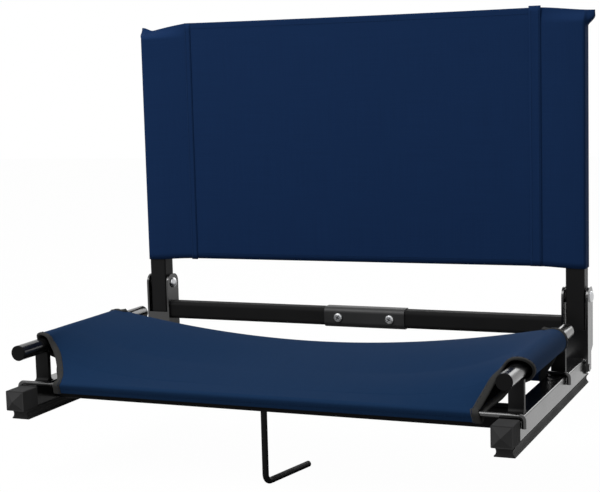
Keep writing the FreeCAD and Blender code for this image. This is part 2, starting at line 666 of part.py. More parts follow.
def seat_section(y, inset):
    """Closed outline of the seat cover at one depth: upper and lower layer, rolled round the edges."""
    height, radius, middle, share = seat_station(y)
    hem_radius = HEM_ROD_RADIUS + FABRIC_GAP + FABRIC
    thick = SEAT_LAYERS + (1 - share) * (2 * hem_radius - 2 * HEM_SAG - SEAT_LAYERS)
    r = radius - inset
    upper = middle - inset
    lower = middle - thick + inset
    diagonal = r * math.sqrt(0.5)

    def at(across, z):
        return Vector(across, y, z)

    def roll(side):
        top = at(side * RAIL_X, height + r)
        out = at(side * (RAIL_X + r), height)
        bottom = at(side * RAIL_X, height - r)
        slant = side * (RAIL_X + diagonal)
        upper_half = Part.Arc(top, at(slant, height + diagonal), out)
        lower_half = Part.Arc(out, at(slant, height - diagonal), bottom)
        return upper_half, lower_half

    over = Part.Arc(at(-RAIL_X, height + r), at(0, upper), at(RAIL_X, height + r))
    under = Part.Arc(at(-RAIL_X, height - r), at(0, lower), at(RAIL_X, height - r))
    edges = [arc.toShape() for arc in (over, under) + roll(-1) + roll(1)]
    return Part.Wire(Part.__sortEdges__(edges))


def seat_loft(inset):
    """Outside of the seat cover, or its hollow one inset within, from hem to hem."""
    first = SEAT_FULL_FRONT + inset
    step = (SEAT_FULL_REAR - inset - first) / (SEAT_STATIONS - 1)
    places = [FRONT_ROD_Y] + [first + step * i for i in range(SEAT_STATIONS)] + [REAR_ROD_Y]
    return Part.makeLoft([seat_section(y, inset) for y in places], True, True)


def corner_notch(side, inner, y_range):
    """Block that takes one corner out of the seat cover, from its inner side outwards."""
    return box((side * inner, side * 2 * RAIL_X), y_range, (0, 2 * SEAT_TUBE_HEIGHT))


def front_notch(side):
    """Notch at a front corner, which leaves the roll's end and the hem's end joined by a round edge."""
    sleeve = HEM_ROD_RADIUS + FABRIC_GAP + FABRIC
    y_range = (FRONT_ROD_Y - 2 * sleeve, SEAT_FULL_FRONT + FABRIC)
    notch = corner_notch(side, RAIL_X - FRONT_NOTCH, y_range)
    upright_edges = [edge for edge in notch.Edges if abs(edge.tangentAt(edge.FirstParameter).z) > 0.5]
    inmost = max(upright_edges, key=lambda edge: edge.CenterOfMass.y - abs(edge.CenterOfMass.x))
    return notch.makeFillet(FRONT_NOTCH_RADIUS, [inmost])


def rear_notch(side):
    """Notch at a rear corner, where the hem ends beside the rail and the roll ends ahead of it."""
    sleeve = HEM_ROD_RADIUS + FABRIC_GAP + FABRIC
    return corner_notch(side, RAIL_INNER - FABRIC_GAP, (SEAT_FULL_REAR - FABRIC, REAR_ROD_Y + 2 * sleeve))


def seat_cover():
    """Seat cover: a flat bag round the seat tubes and the hem rods, open at its four notched corners."""
    bag = seat_loft(0.0)
    hollow = seat_loft(FABRIC)
    clear = HEM_ROD_RADIUS + FABRIC_GAP
    for y in (FRONT_ROD_Y, REAR_ROD_Y):
        start = Vector(-RAIL_X, y, HEM_ROD_Z)
        bag = bag.fuse(rod(start, start + AXIS_X * 2 * RAIL_X, clear + FABRIC))
        hollow = hollow.fuse(rod(start - AXIS_X * clear, start + AXIS_X * (2 * RAIL_X + clear), clear))
    bag = bag.cut(hollow)
    across = POST_WIDTH / 2 + FABRIC_GAP
    along = POST_THICKNESS / 2 + FABRIC_GAP
    post_y = FRONT + FRONT_POST_SETBACK
    for side, _ in SIDES:
        x = side * RAIL_X
        post = box((x - across, x + across), (post_y - along, post_y + along), (0, SEAT_TUBE_HEIGHT))
        bag = bag.cut([front_notch(side), rear_notch(side), post])
    return bag


def model():
    """Every node of the chair by name."""
    nodes = {}
    for side, name in SIDES:
        x = side * RAIL_X
        nodes["rail_" + name] = rail(side)
        nodes["rail_nose_" + name] = rail_nose(side)
        rail_mouth = Vector(x, RAIL_REAR, RAIL_MIDDLE)
        nodes["rail_plug_" + name] = square_plug(rail_mouth, AXIS_Y, RAIL_SIZE, RAIL_PLUG_DEPTH)
        nodes["runner_" + name] = runner(side)
        nodes["seat_post_front_" + name] = seat_post(side, FRONT_POST_SETBACK)
        nodes["seat_post_rear_" + name] = seat_post(side, REAR_POST_SETBACK)
        nodes["seat_tube_" + name] = seat_tube(side)
        nodes["hinge_bracket_" + name] = hinge_bracket(side)
        nodes["rear_crossbar_" + name] = rear_crossbar_half(side)
        nodes["upright_" + name] = upright(side)
    nodes["runner_screws"] = runner_screws()
    nodes["front_crossbar"] = front_crossbar()
    nodes["seat_tube_plugs"] = seat_tube_plugs()
    nodes["hem_rod_front"] = hem_rod(FRONT_ROD_Y)
    nodes["hem_rod_rear"] = hem_rod(REAR_ROD_Y)
    nodes["seat_cover"] = seat_cover()
    nodes["pivot_rivets"] = bracket_rivets(PIVOT_Y, PIVOT_HEIGHT, True)
    nodes["bracket_rivets"] = bracket_rivets(BRACKET_RIVET_Y, RAIL_MIDDLE, False)
    nodes["hinge_spacers"] = hinge_spacers()
    nodes["splice_channel"] = splice_channel()
    nodes["splice_bolts"], nodes["splice_nuts"] = splice_fasteners()
    nodes["upright_top_plugs"] = upright_plugs(UPRIGHT_TOP, AXIS_Z)
    nodes["upright_foot_plugs"] = upright_plugs(PIVOT_HEIGHT - UPRIGHT_TAIL, AXIS_Z * -1)
    nodes["back_cover"] = back_cover()
    nodes["hook"] = hook()
    nodes["hook_bushes"] = hook_bushes()
    nodes["hook_washer"] = hook_washer()
    nodes["hook_clip"] = hook_clip()
    return nodes


os.makedirs("parts", exist_ok=True)
for node, shape in model().items():
    shape.translate(Vector(-HOOK_OFFSET, 0, 0))
    print(node, "solids", len(shape.Solids), "valid", shape.isValid(), "volume", round(shape.Volume))
    shape.exportStep("parts/" + node + ".step")
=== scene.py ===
"""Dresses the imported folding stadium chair: cloth covers, sewing, fastener details, finishes, studio, camera.

Metres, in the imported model's own frame: X across the chair, Y from front to back, Z up from the bench top.
Left and right are as seen by someone who stands in front of the chair.
"""
import functools
import json
import math

import bmesh
import bpy
from mathutils import Matrix, Vector


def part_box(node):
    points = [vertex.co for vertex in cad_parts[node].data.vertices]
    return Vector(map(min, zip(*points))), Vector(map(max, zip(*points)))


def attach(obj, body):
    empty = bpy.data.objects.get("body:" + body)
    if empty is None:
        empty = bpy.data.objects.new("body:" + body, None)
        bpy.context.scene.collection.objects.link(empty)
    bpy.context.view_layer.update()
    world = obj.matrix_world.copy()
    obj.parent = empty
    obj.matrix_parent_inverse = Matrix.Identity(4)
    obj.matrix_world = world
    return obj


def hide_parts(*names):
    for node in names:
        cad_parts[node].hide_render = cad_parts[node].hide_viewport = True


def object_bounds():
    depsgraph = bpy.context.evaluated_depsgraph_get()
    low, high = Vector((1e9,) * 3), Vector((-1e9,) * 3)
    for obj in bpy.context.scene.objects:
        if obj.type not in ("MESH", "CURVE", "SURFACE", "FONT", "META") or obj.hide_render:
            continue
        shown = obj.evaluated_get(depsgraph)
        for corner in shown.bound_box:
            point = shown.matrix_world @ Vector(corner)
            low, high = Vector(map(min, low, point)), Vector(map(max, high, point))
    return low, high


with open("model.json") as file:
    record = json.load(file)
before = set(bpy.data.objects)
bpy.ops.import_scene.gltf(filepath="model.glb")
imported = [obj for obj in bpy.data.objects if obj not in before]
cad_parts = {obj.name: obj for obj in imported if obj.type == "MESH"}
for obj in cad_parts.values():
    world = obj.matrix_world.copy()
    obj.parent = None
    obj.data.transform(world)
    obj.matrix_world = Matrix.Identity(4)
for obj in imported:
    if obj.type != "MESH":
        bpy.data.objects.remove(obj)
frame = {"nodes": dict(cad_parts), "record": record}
cad_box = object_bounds()
nodes = frame["nodes"]

MM = 0.001
MERGE = 0.02 * MM
SIDES = (-1, 1)
FRONT = 1
REAR = -1
ENDS = (FRONT, REAR)
TOP = "top"
UNDER = "under"
LAYERS_OF_SEAT = (TOP, UNDER)
AXIS_X = Vector((1, 0, 0))
AXIS_Y = Vector((0, 1, 0))
AXIS_Z = Vector((0, 0, 1))


def lerp(start, end, share):
    """Value a share of the way from one to another."""
    return start + (end - start) * share


def ease(share):
    """Smooth step from 0 to 1."""
    held = min(max(share, 0.0), 1.0)
    return held * held * (3 - 2 * held)


def middle_of(node):
    """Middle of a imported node's box."""
    low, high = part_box(node)
    return (low + high) / 2


def half_of(node):
    """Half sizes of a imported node's box."""
    low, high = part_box(node)
    return (high - low) / 2


# Places of the frame's own parts
TUBE_LEFT = middle_of("seat_tube_left")
TUBE_RIGHT = middle_of("seat_tube_right")
MIDDLE_X = (TUBE_LEFT.x + TUBE_RIGHT.x) / 2
TUBE_X = (TUBE_RIGHT.x - TUBE_LEFT.x) / 2
TUBE_Z = TUBE_RIGHT.z
TUBE_RADIUS = half_of("seat_tube_right").z
ROD_RADIUS = half_of("hem_rod_front").y
ROD_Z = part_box("hem_rod_front")[1].z - ROD_RADIUS
ROD_Y = {FRONT: middle_of("hem_rod_front").y, REAR: middle_of("hem_rod_rear").y}
POST_Y = {FRONT: middle_of("seat_post_front_left").y, REAR: middle_of("seat_post_rear_left").y}
UPRIGHT_X = (middle_of("upright_right").x - middle_of("upright_left").x) / 2
UPRIGHT_Y = middle_of("upright_right").y
UPRIGHT_HALF = half_of("upright_right").x
PLUG_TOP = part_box("upright_top_plugs")[1].z
BACK_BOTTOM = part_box("back_cover")[0].z
BACK_RISE = 0.9 * MM
BACK_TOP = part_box("back_cover")[1].z + BACK_RISE

# Cloth
FABRIC = 1.0 * MM
SLACK = 0.4 * MM
LIFT = SLACK + FABRIC / 2

# Seat cover: loose rolls round the tubes, hems round the rods, notched corners
ROLL = TUBE_RADIUS + 4.4 * MM + FABRIC / 2
ROLL_STEEP = math.radians(136.5)
ROLL_SHALLOW = math.radians(101)
ROLL_END = math.radians(-80)
ROLL_TURN = (math.radians(100), math.radians(-28))
UNDER_HALF = TUBE_X + ROLL * math.cos(ROLL_END)
UNDER_EDGE_Z = TUBE_Z + ROLL * math.sin(ROLL_END)
UNDER_POWER = 2.2
HEM = ROD_RADIUS + LIFT
HEM_HANG = 7.8 * MM
HEM_TUCK = 3.4 * MM
HEM_TURN = 1.3 * MM
HEM_BACK = 4.2 * MM
HEM_LOW = -1.0 * MM
LEAN_MIDDLE = math.radians(8)
LEAN_SIDES = math.radians(10)
SEAT_REAR_MIDDLE = 59.0 * MM
LAYER_GAP = 4.0 * MM
POST_HALF = half_of("seat_post_front_left").x
POST_REAR = POST_Y[FRONT] + 3.5 * MM
ROLL_Y = {
    TOP: {FRONT: ROD_Y[FRONT] + 24.7 * MM, REAR: ROD_Y[REAR] - 7.5 * MM},
    UNDER: {FRONT: POST_REAR + 14.0 * MM, REAR: ROD_Y[REAR] - 7.5 * MM},
}
NOTCH_Y = {
    TOP: {FRONT: ROD_Y[FRONT] + 24.4 * MM, REAR: ROD_Y[REAR] - 7.2 * MM},
    UNDER: {FRONT: POST_REAR + 12.0 * MM, REAR: ROD_Y[REAR] - 7.2 * MM},
}
NOTCH_DEPTH = {
    TOP: {FRONT: 19.7 * MM, REAR: 5.5 * MM},
    UNDER: {FRONT: 35.0 * MM, REAR: 2.5 * MM},
}
NOTCH_WIDE = {
    TOP: {FRONT: TUBE_X + ROLL * math.cos(ROLL_STEEP), REAR: TUBE_X + ROLL * math.cos(ROLL_SHALLOW)},
    UNDER: {FRONT: TUBE_X - POST_HALF - 0.8 * MM, REAR: UNDER_HALF},
}
NOTCH_POWER = {TOP: 2.0, UNDER: 1.2}
HEM_HALF = {
    TOP: {FRONT: TUBE_X - 28.7 * MM, REAR: TUBE_X - 11.6 * MM},
    UNDER: {FRONT: TUBE_X - 23.7 * MM, REAR: TUBE_X - 11.6 * MM},
}
NOTCH_CLIMB = {TOP: 1.25, UNDER: 1.0}
HEM_SHARE = 0.18
HEM_SHIFT = 0.8 * MM
HEM_DRAW = {FRONT: 3.8 * MM, REAR: 0.0}
HEM_DRAW_START = 0.3
HEM_DRAW_LENGTH = 18.0 * MM
RELAX_TIMES = 60
RELAX_ROWS = 12
SEAT_COLUMNS = 72
SPREAD_POWER = 1.7
FRONT_ROWS = 18
TUBE_ROWS = 34
REAR_ROWS = 10
ROLL_ROWS = 14
ARC_ROWS = 5
HANG_ROWS = 3
TURN_ROWS = 6
RETURN_ROWS = 4

# Tape round the cut corners
TAPE_WIDTH = 6.0 * MM
HEM_TAPE_WIDTH = 8.0 * MM
HEM_TAPE_START = 0.735
HEM_TAPE_BLEND = 0.015
TAPE_LIFT = 1.5 * MM
TAPE_OUT = 0.9 * MM
TAPE_SECTION = 14
TAPE_STEPS = 28
TAPE_FLAT = 0.4
TAPE_ROUND = 0.6
TAPE_LOOK = 0.004
TAPE_STITCH = 0.22
NOTCH_LOOK = 0.01
NOTCH_LOOP = {FRONT: 150 * MM, REAR: 120 * MM}

# Back cover: front panel, sleeves round the uprights, closed tops with ears
COVER_GAP = UPRIGHT_HALF + LIFT
COVER_CORNER = 2.8 * MM
COVER_FRONT = UPRIGHT_Y - COVER_GAP
COVER_REAR = UPRIGHT_Y + COVER_GAP
SEAM_X = {-1: 217.5 * MM, 1: 227.0 * MM}
SEAM_RECESS = 2.6 * MM
SEAM_BAND = {-1: 8.0 * MM, 1: 14.0 * MM}
SEAM_THICK = 0.7 * MM
SEAM_TAB = {-1: 0.0, 1: 2.0 * MM}
SEAM_FOOT = {-1: 1.0 * MM, 1: 0.2 * MM}
SEAM_GRID = (4, 40)
SEAM_STITCH = 0.32
SEAM_STITCH_END = 2.0 * MM
HEM_STITCH = 7.0 * MM
PANEL_FRONT = COVER_FRONT + SEAM_RECESS
HEM_LIFT = {-1: 0.0, 1: 1.5 * MM}
SLEEVE_HANG = {-1: 2.6 * MM, 1: 0.4 * MM}
LAYERS = 1.1 * MM
EAR = {-1: 6.5 * MM, 1: 10.0 * MM}
EAR_START = PLUG_TOP - 6.0 * MM
EAR_FULL = PLUG_TOP + 7.5 * MM
CLOSE_START = PLUG_TOP + 0.7 * MM
CLOSE_BACK = {-1: 16.0 * MM, 1: 7.0 * MM}
CREST_DIP = 7.4 * MM
CREST_TIP = 2.8 * MM
CREST_LOWEST = 0.77
CREST_SAG = 0.7 * MM
CREST_DROP = 5.0 * MM
CREST_POWER = 1.3
FRONT_COLUMNS = 64
BEND_COLUMNS = 4
SIDE_COLUMNS = 8
FLAT_COLUMNS = 4
SLANT_COLUMNS = 8
LOW_ROWS = 36
HIGH_ROWS = 22
HIGH_START = PLUG_TOP - 18.0 * MM

# Sewing
STITCH_LENGTH = 2.7 * MM
STITCH_PITCH = 3.7 * MM
STITCH_WIDTH = 0.6 * MM
STITCH_LIFT = 0.2
STITCH_LOOK = 0.25


def finished(name, bm, material, body, sharp=None):
    """Makes a bmesh a piece that rides on one of the frame's bodies."""
    mesh = bpy.data.meshes.new(name)
    bm.to_mesh(mesh)
    bm.free()
    mesh.materials.append(material)
    for face in mesh.polygons:
        face.use_smooth = True
    if sharp is not None:
        mesh.set_sharp_from_angle(angle=math.radians(sharp))
    piece = bpy.data.objects.new(name, mesh)
    bpy.context.scene.collection.objects.link(piece)
    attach(piece, body)
    return piece


def cloth(bm, across, along, place):
    """Lays a grid of cloth by a place for each share across and along, with its flat lengths as UV."""
    made = bmesh.ops.create_grid(bm, x_segments=across, y_segments=along, size=0.5)["verts"]
    grid = {}
    for vert in made:
        spot = (round((vert.co.x + 0.5) * across), round((vert.co.y + 0.5) * along))
        grid[spot] = vert
    for (column, row), vert in grid.items():
        vert.co = place(column / across, row / along)
    flat = {}
    for row in range(along + 1):
        for column in range(across + 1):
            here = grid[column, row]
            beside = grid[max(column - 1, 0), row]
            below = grid[column, max(row - 1, 0)]
            u = flat[beside][0] + (here.co - beside.co).length if column else 0.0
            v = flat[below][1] + (here.co - below.co).length if row else 0.0
            flat[here] = (u, v)
    layer = bm.loops.layers.uv.verify()
    for face in {face for vert in made for face in vert.link_faces}:
        for loop in face.loops:
            loop[layer].uv = flat[loop.vert]


def joined(bm):
    """Closes the seams between grids and points the faces one way."""
    bmesh.ops.remove_doubles(bm, verts=bm.verts, dist=MERGE)
    bmesh.ops.recalc_face_normals(bm, faces=bm.faces)


def thicken(piece, thickness, inner_face_black=None):
    """Gives a sheet its thickness, half to each side, and a second material on its inner faces if one is given.
    """
    wall = piece.modifiers.new("thickness", "SOLIDIFY")
    wall.thickness = thickness
    wall.offset = 0.0
    if inner_face_black:
        piece.data.materials.append(inner_face_black)
        wall.material_offset = 1
    return piece


def turned(place, along, up=AXIS_Z):
    """Matrix at a place whose X follows one direction and whose Z is near another."""
    x = along.normalized()
    y = up.cross(x).normalized()
    z = x.cross(y)
    return Matrix.Translation(place) @ Matrix((x, y, z)).transposed().to_4x4()


def stitches(bm, path, length, out):
    """Sews a row of stitches along a path of shares, each standing on the cloth."""
    count = max(2, round(length / STITCH_PITCH))
    step = 1.0 / count
    for number in range(count):
        share = (number + 0.5) * step
        here = path(share)
        ahead = path(min(share + STITCH_LOOK * step, 1.0))
        behind = path(max(share - STITCH_LOOK * step, 0.0))
        up = out(share)
        size = Matrix.Diagonal((STITCH_LENGTH / 2, STITCH_WIDTH / 2, STITCH_WIDTH / 2, 1.0))
        spot = turned(here + up * STITCH_WIDTH * STITCH_LIFT, ahead - behind, up)
        bmesh.ops.create_icosphere(bm, subdivisions=1, radius=1.0, matrix=spot @ size)


# Seat cover

def roll_start(y):
    """Angle round a tube at which the top layer leaves the roll, steep at the front, shallow at the rear."""
    share = (y - ROLL_Y[TOP][FRONT]) / (ROLL_Y[TOP][REAR] - ROLL_Y[TOP][FRONT])
    return lerp(ROLL_SHALLOW, ROLL_STEEP, (1 - min(max(share, 0.0), 1.0)) ** 2)


def passed(layer, end, y):
    """Share of a corner's notch passed at one depth: 0 at its start by the hem, 1 at its end."""
    return min(max(1 + end * (y - NOTCH_Y[layer][end]) / NOTCH_DEPTH[layer][end], 0.0), 1.0)


def half_width(layer, y):
    """Half of a layer's width at one depth, less at its notched corners."""
    for end in ENDS:
        beyond = end * (ROLL_Y[layer][end] - y)
        if beyond > 0:
            wide = NOTCH_WIDE[layer][end]
            bridge = abs(ROLL_Y[layer][end] - NOTCH_Y[layer][end])
            if beyond < bridge:
                return lerp(roll_half(layer, ROLL_Y[layer][end]), wide, beyond / bridge)
            power = NOTCH_POWER[layer]
            share = passed(layer, end, y)
            turn = (1 - share ** power) ** (1 / power)
            ahead = beyond - bridge - HEM_DRAW_START * NOTCH_DEPTH[layer][end]
            drawn = HEM_DRAW[end] * ease(ahead / HEM_DRAW_LENGTH)
            return lerp(wide, HEM_HALF[layer][end], turn) - drawn
    return roll_half(layer, y)


def roll_half(layer, y):
    """Half width at which a layer meets the rolls."""
    if layer == UNDER:
        return UNDER_HALF
    return TUBE_X + ROLL * math.cos(roll_start(y))


def hem_lean(share):
    """Angle by which the top layer meets a hem rod ahead of its top, more towards the sides."""
    return LEAN_MIDDLE + LEAN_SIDES * share ** 4


def hem_contact(layer, end, share):
    """Depth and height at which a layer leaves a hem."""
    if layer == UNDER:
        return ROD_Y[end] + end * HEM_BACK, ROD_Z + HEM_LOW
    lean = hem_lean(share)
    return ROD_Y[end] - end * HEM * math.sin(lean), ROD_Z + HEM * math.cos(lean)


def sling(y):
    """Height of the slung middle at one depth."""
    share = (y - ROD_Y[FRONT]) / (ROLL_Y[TOP][REAR] - ROD_Y[FRONT])
    return lerp(ROD_Z + HEM, SEAT_REAR_MIDDLE, share)


def profile(layer, y):
    """Middle height, edge height, half width and power of a layer's curve between the rolls."""
    if layer == UNDER:
        return sling(y) - LAYER_GAP, UNDER_EDGE_Z, UNDER_HALF, UNDER_POWER
    angle = roll_start(y)
    half = TUBE_X + ROLL * math.cos(angle)
    edge = TUBE_Z + ROLL * math.sin(angle)
    middle = sling(y)
    return middle, edge, half, math.tan(angle - math.pi / 2) * half / (edge - middle)


def layer_height(layer, x, y):
    """Height of the top or under layer: slung between the rolls, drawn down to the hems at both ends."""
    for end in ENDS:
        if end * (ROLL_Y[layer][end] - y) > 0:
            middle, edge, half, power = profile(layer, ROLL_Y[layer][end])
            edge = middle + (edge - middle) * (NOTCH_WIDE[layer][end] / half) ** power
            here = half_width(layer, y)
            across = min(abs(x) / here, 1.0)
            start, low = hem_contact(layer, end, across)
            climb = (math.asin(passed(layer, end, y)) / (math.pi / 2)) ** NOTCH_CLIMB[layer]
            along = min(max((y - start) / (ROLL_Y[layer][end] - start), 0.0), 1.0)
            if end == REAR:
                along = math.sin(math.pi / 2 * along)
            return lerp(lerp(low, middle, along), lerp(low, edge, climb), across ** power)
    middle, edge, half, power = profile(layer, y)
    return middle + (edge - middle) * min(abs(x) / half, 1.0) ** power


def notch_depth(layer, end, share, hem):
    """Depth of a row from a hem to the end of a notch, rows closer where the notch turns."""
    start = NOTCH_Y[layer][end] - end * NOTCH_DEPTH[layer][end]
    if share < HEM_SHARE:
        return lerp(hem, start, share / HEM_SHARE)
    turn = math.pi / 2 * (share - HEM_SHARE) / (1 - HEM_SHARE)
    return start + end * NOTCH_DEPTH[layer][end] * math.sin(turn)


def seat_depth(layer, v, across):
    """Depth at a share of the rows: the notched front, the stretch on the tubes, the notched rear."""
    row = v * (FRONT_ROWS + TUBE_ROWS + REAR_ROWS)
    if row < FRONT_ROWS - 0.5:
        return notch_depth(layer, FRONT, row / (FRONT_ROWS - 1), hem_contact(layer, FRONT, across)[0])
    if row <= FRONT_ROWS + TUBE_ROWS + 0.5:
        return lerp(ROLL_Y[layer][FRONT], ROLL_Y[layer][REAR], (row - FRONT_ROWS) / TUBE_ROWS)
    left = FRONT_ROWS + TUBE_ROWS + REAR_ROWS - row
    return notch_depth(layer, REAR, left / (REAR_ROWS - 1), hem_contact(layer, REAR, across)[0])


def spread(u):
    """Share across the seat from -1 to 1 for a column, with columns closer by the edges."""
    share = 2 * u - 1
    return math.copysign(1 - (1 - abs(share)) ** SPREAD_POWER, share)


def shifted(layer, end, y):
    """How far to the right the cover sits on its hems, none where the rolls hold it."""
    return HEM_SHIFT * (1 - passed(layer, end, y))


def layer_point(layer, u, v):
    """Point of the seat's top or under layer."""
    share = spread(u)
    y = seat_depth(layer, v, abs(share))
    x = share * half_width(layer, y)
    end = FRONT if v < 0.5 else REAR
    return Vector((MIDDLE_X + x + shifted(layer, end, y), y, layer_height(layer, x, y)))


@functools.lru_cache(None)
def relaxed_layer(layer):
    """Points of a layer by column and row, its heights at the front evened out as taut cloth's are."""
    rows = FRONT_ROWS + TUBE_ROWS + REAR_ROWS
    points = {}
    for column in range(SEAT_COLUMNS + 1):
        for row in range(rows + 1):
            points[column, row] = layer_point(layer, column / SEAT_COLUMNS, row / rows)
    nearby = {}
    for column in range(1, SEAT_COLUMNS):
        for row in range(1, FRONT_ROWS + RELAX_ROWS):
            beside = ((column - 1, row), (column + 1, row), (column, row - 1), (column, row + 1))
            spans = [(points[spot].xy - points[column, row].xy).length for spot in beside]
            nearby[column, row] = [(spot, 1 / span) for spot, span in zip(beside, spans)]
    for _ in range(RELAX_TIMES):
        for spot, near in nearby.items():
            pull = sum(weight for _, weight in near)
            points[spot].z = sum(points[other].z * weight for other, weight in near) / pull
    return points


def relaxed_height(layer, x, y):
    """Height of a relaxed layer between its columns and rows."""
    points = relaxed_layer(layer)
    rows = FRONT_ROWS + TUBE_ROWS + REAR_ROWS
    edge = SEAT_COLUMNS if x > 0 else 0
    row = 0
    while row < rows - 1 and points[edge, row + 1].y < y:
        row += 1
    ahead = points[edge, row].y
    behind = points[edge, row + 1].y
    along = min(max((y - ahead) / (behind - ahead), 0.0), 1.0)
    across = min(abs(x) / half_width(layer, y), 1.0)
    place = (1 + math.copysign(1 - (1 - across) ** (1 / SPREAD_POWER), x)) / 2 * SEAT_COLUMNS
    column = min(int(place), SEAT_COLUMNS - 1)
    share = place - column
    near = lerp(points[column, row].z, points[column + 1, row].z, share)
    far = lerp(points[column, row + 1].z, points[column + 1, row + 1].z, share)
    return lerp(near, far, along)


def roll_cut(angle, end):
    """Depth at which a roll ends at one angle round its tube, behind the post below."""
    turn = ease((ROLL_TURN[0] - angle) / (ROLL_TURN[0] - ROLL_TURN[1]))
    return lerp(ROLL_Y[TOP][end], ROLL_Y[UNDER][end], turn)


def roll_point(side, u, v):
    """Point of the roll round a seat tube."""
    angle = lerp(roll_start(lerp(ROLL_Y[TOP][FRONT], ROLL_Y[TOP][REAR], v)), ROLL_END, u)
    x = TUBE_X + ROLL * math.cos(angle)
    y = lerp(roll_cut(angle, FRONT), roll_cut(angle, REAR), v)
    return Vector((MIDDLE_X + side * x, y, TUBE_Z + ROLL * math.sin(angle)))


def hem_point(end, share, v):
    """Point of a hem: over the rod, down to the sewn edge and back up to the under layer."""
    row = v * (ARC_ROWS + HANG_ROWS + TURN_ROWS + RETURN_ROWS)
    edge = HEM_TUCK - HEM
    if row <= ARC_ROWS:
        angle = lerp(math.pi / 2 + hem_lean(abs(share)), math.pi, row / ARC_ROWS)
        ahead = HEM * math.cos(angle)
        height = HEM * math.sin(angle)
    elif row <= ARC_ROWS + HANG_ROWS:
        part = (row - ARC_ROWS) / HANG_ROWS
        ahead = lerp(-HEM, edge, part)
        height = -HEM_HANG * part
    elif row <= ARC_ROWS + HANG_ROWS + TURN_ROWS:
        angle = math.pi * (1 + (row - ARC_ROWS - HANG_ROWS) / TURN_ROWS)
        ahead = edge + HEM_TURN + HEM_TURN * math.cos(angle)
        height = HEM_TURN * math.sin(angle) - HEM_HANG
    else:
        part = (row - ARC_ROWS - HANG_ROWS - TURN_ROWS) / RETURN_ROWS
        ahead = lerp(edge + 2 * HEM_TURN, HEM_BACK, part)
        height = lerp(-HEM_HANG, HEM_LOW, part)
    halves = []
    for layer in LAYERS_OF_SEAT:
        halves.append(half_width(layer, hem_contact(layer, end, abs(share))[0]))
    half = lerp(*halves, v)
    return Vector((MIDDLE_X + share * half + HEM_SHIFT, ROD_Y[end] + end * ahead, ROD_Z + height))


def seat_cover(material, inner_face_black):
    """Seat cover: top and under layer, rolls round the tubes, hems round the rods."""
    bm = bmesh.new()
    rows = FRONT_ROWS + TUBE_ROWS + REAR_ROWS
    hem_rows = ARC_ROWS + HANG_ROWS + TURN_ROWS + RETURN_ROWS
    for layer in LAYERS_OF_SEAT:
        points = relaxed_layer(layer)
        cloth(bm, SEAT_COLUMNS, rows, lambda u, v: points[round(u * SEAT_COLUMNS), round(v * rows)])
    for side in SIDES:
        cloth(bm, ROLL_ROWS, TUBE_ROWS, lambda u, v: roll_point(side, u, v))
    for end in ENDS:
        cloth(bm, SEAT_COLUMNS, hem_rows, lambda u, v: hem_point(end, spread(u), v))
    joined(bm)
    return thicken(finished("seat_cloth", bm, material, "base"), FABRIC, inner_face_black)


def notch_edge(layer, end, share):
    """Point in plan on a notch's edge, from the hem to the roll."""
    y = notch_depth(layer, end, share, hem_contact(layer, end, 1.0)[0])
    return half_width(layer, y), y


def inside_notch(layer, side, end, share, inset):
    """Point of a layer a width inside a notch's edge."""
    x, y = notch_edge(layer, end, share)
    before = notch_edge(layer, end, max(share - NOTCH_LOOK, 0.0))
    after = notch_edge(layer, end, min(share + NOTCH_LOOK, 1.0))
    across = after[0] - before[0]
    along = end * (after[1] - before[1])
    length = math.hypot(across, along)
    x -= inset * along / length
    y += end * inset * across / length
    return Vector((MIDDLE_X + side * x + shifted(layer, end, y), y, relaxed_height(layer, side * x, y)))


@functools.lru_cache(None)
def corner_edge(side, end, share, inset):
    """Point a width inside the edge of a notched corner: top layer, roll, under layer, hem end."""
    leg, part = divmod(min(share, 0.99999) * 4, 1)
    if leg == 0:
        return inside_notch(TOP, side, end, part, inset)
    if leg == 1:
        angle = lerp(roll_start(ROLL_Y[TOP][end]), ROLL_END, part)
        x = TUBE_X + ROLL * math.cos(angle)
        y = roll_cut(angle, end) + end * inset
        return Vector((MIDDLE_X + side * x, y, TUBE_Z + ROLL * math.sin(angle)))
    if leg == 2:
        return inside_notch(UNDER, side, end, 1 - part, inset)
    return hem_point(end, side * (1 - inset / HEM_HALF[TOP][end]), 1 - part)


def tape_width(share):
    """Width of the tape at one share of its loop, wider where it is folded round the hem."""
    onto = ease((share - HEM_TAPE_START) / HEM_TAPE_BLEND)
    off = 1 - ease(share / HEM_TAPE_BLEND)
    return lerp(TAPE_WIDTH, HEM_TAPE_WIDTH, max(onto, off))


@functools.lru_cache(None)
def tape_frame(side, end, share):
    """Edge, inner line and outward direction of the tape at one share of its loop."""
    width = tape_width(share)
    edge = corner_edge(side, end, share, 0.0)
    inner = corner_edge(side, end, share, width)
    ahead = corner_edge(side, end, (share + TAPE_LOOK) % 1.0, width / 2)
    behind = corner_edge(side, end, (share - TAPE_LOOK) % 1.0, width / 2)
    out = (ahead - behind).cross(inner - edge).normalized() * side * end
    return edge, inner, out


def tape_point(side, end, u, v):
    """Point on the skin of the tape folded over a cut corner's edge."""
    edge, inner, out = tape_frame(side, end, v % 1.0)
    middle = corner_edge(side, end, v % 1.0, tape_width(v % 1.0) / 2)
    rim = edge + (edge - inner).normalized() * TAPE_OUT
    angle = 2 * math.pi * u
    across = math.copysign(abs(math.cos(angle)) ** TAPE_FLAT, math.cos(angle))
    through = math.copysign(abs(math.sin(angle)) ** TAPE_ROUND, math.sin(angle))
    to_inner = across * (across - 1) / 2
    to_rim = across * (across + 1) / 2
    return inner * to_inner + middle * (1 - across ** 2) + rim * to_rim + out * TAPE_LIFT * through


def corner_tapes(material):
    """Tape folded over the edges of the four cut corners."""
    bm = bmesh.new()
    for side in SIDES:
        for end in ENDS:
            cloth(bm, TAPE_SECTION, TAPE_STEPS * 4, lambda u, v: tape_point(side, end, u, v))
    joined(bm)
    return finished("seat_corner_tapes", bm, material, "base")


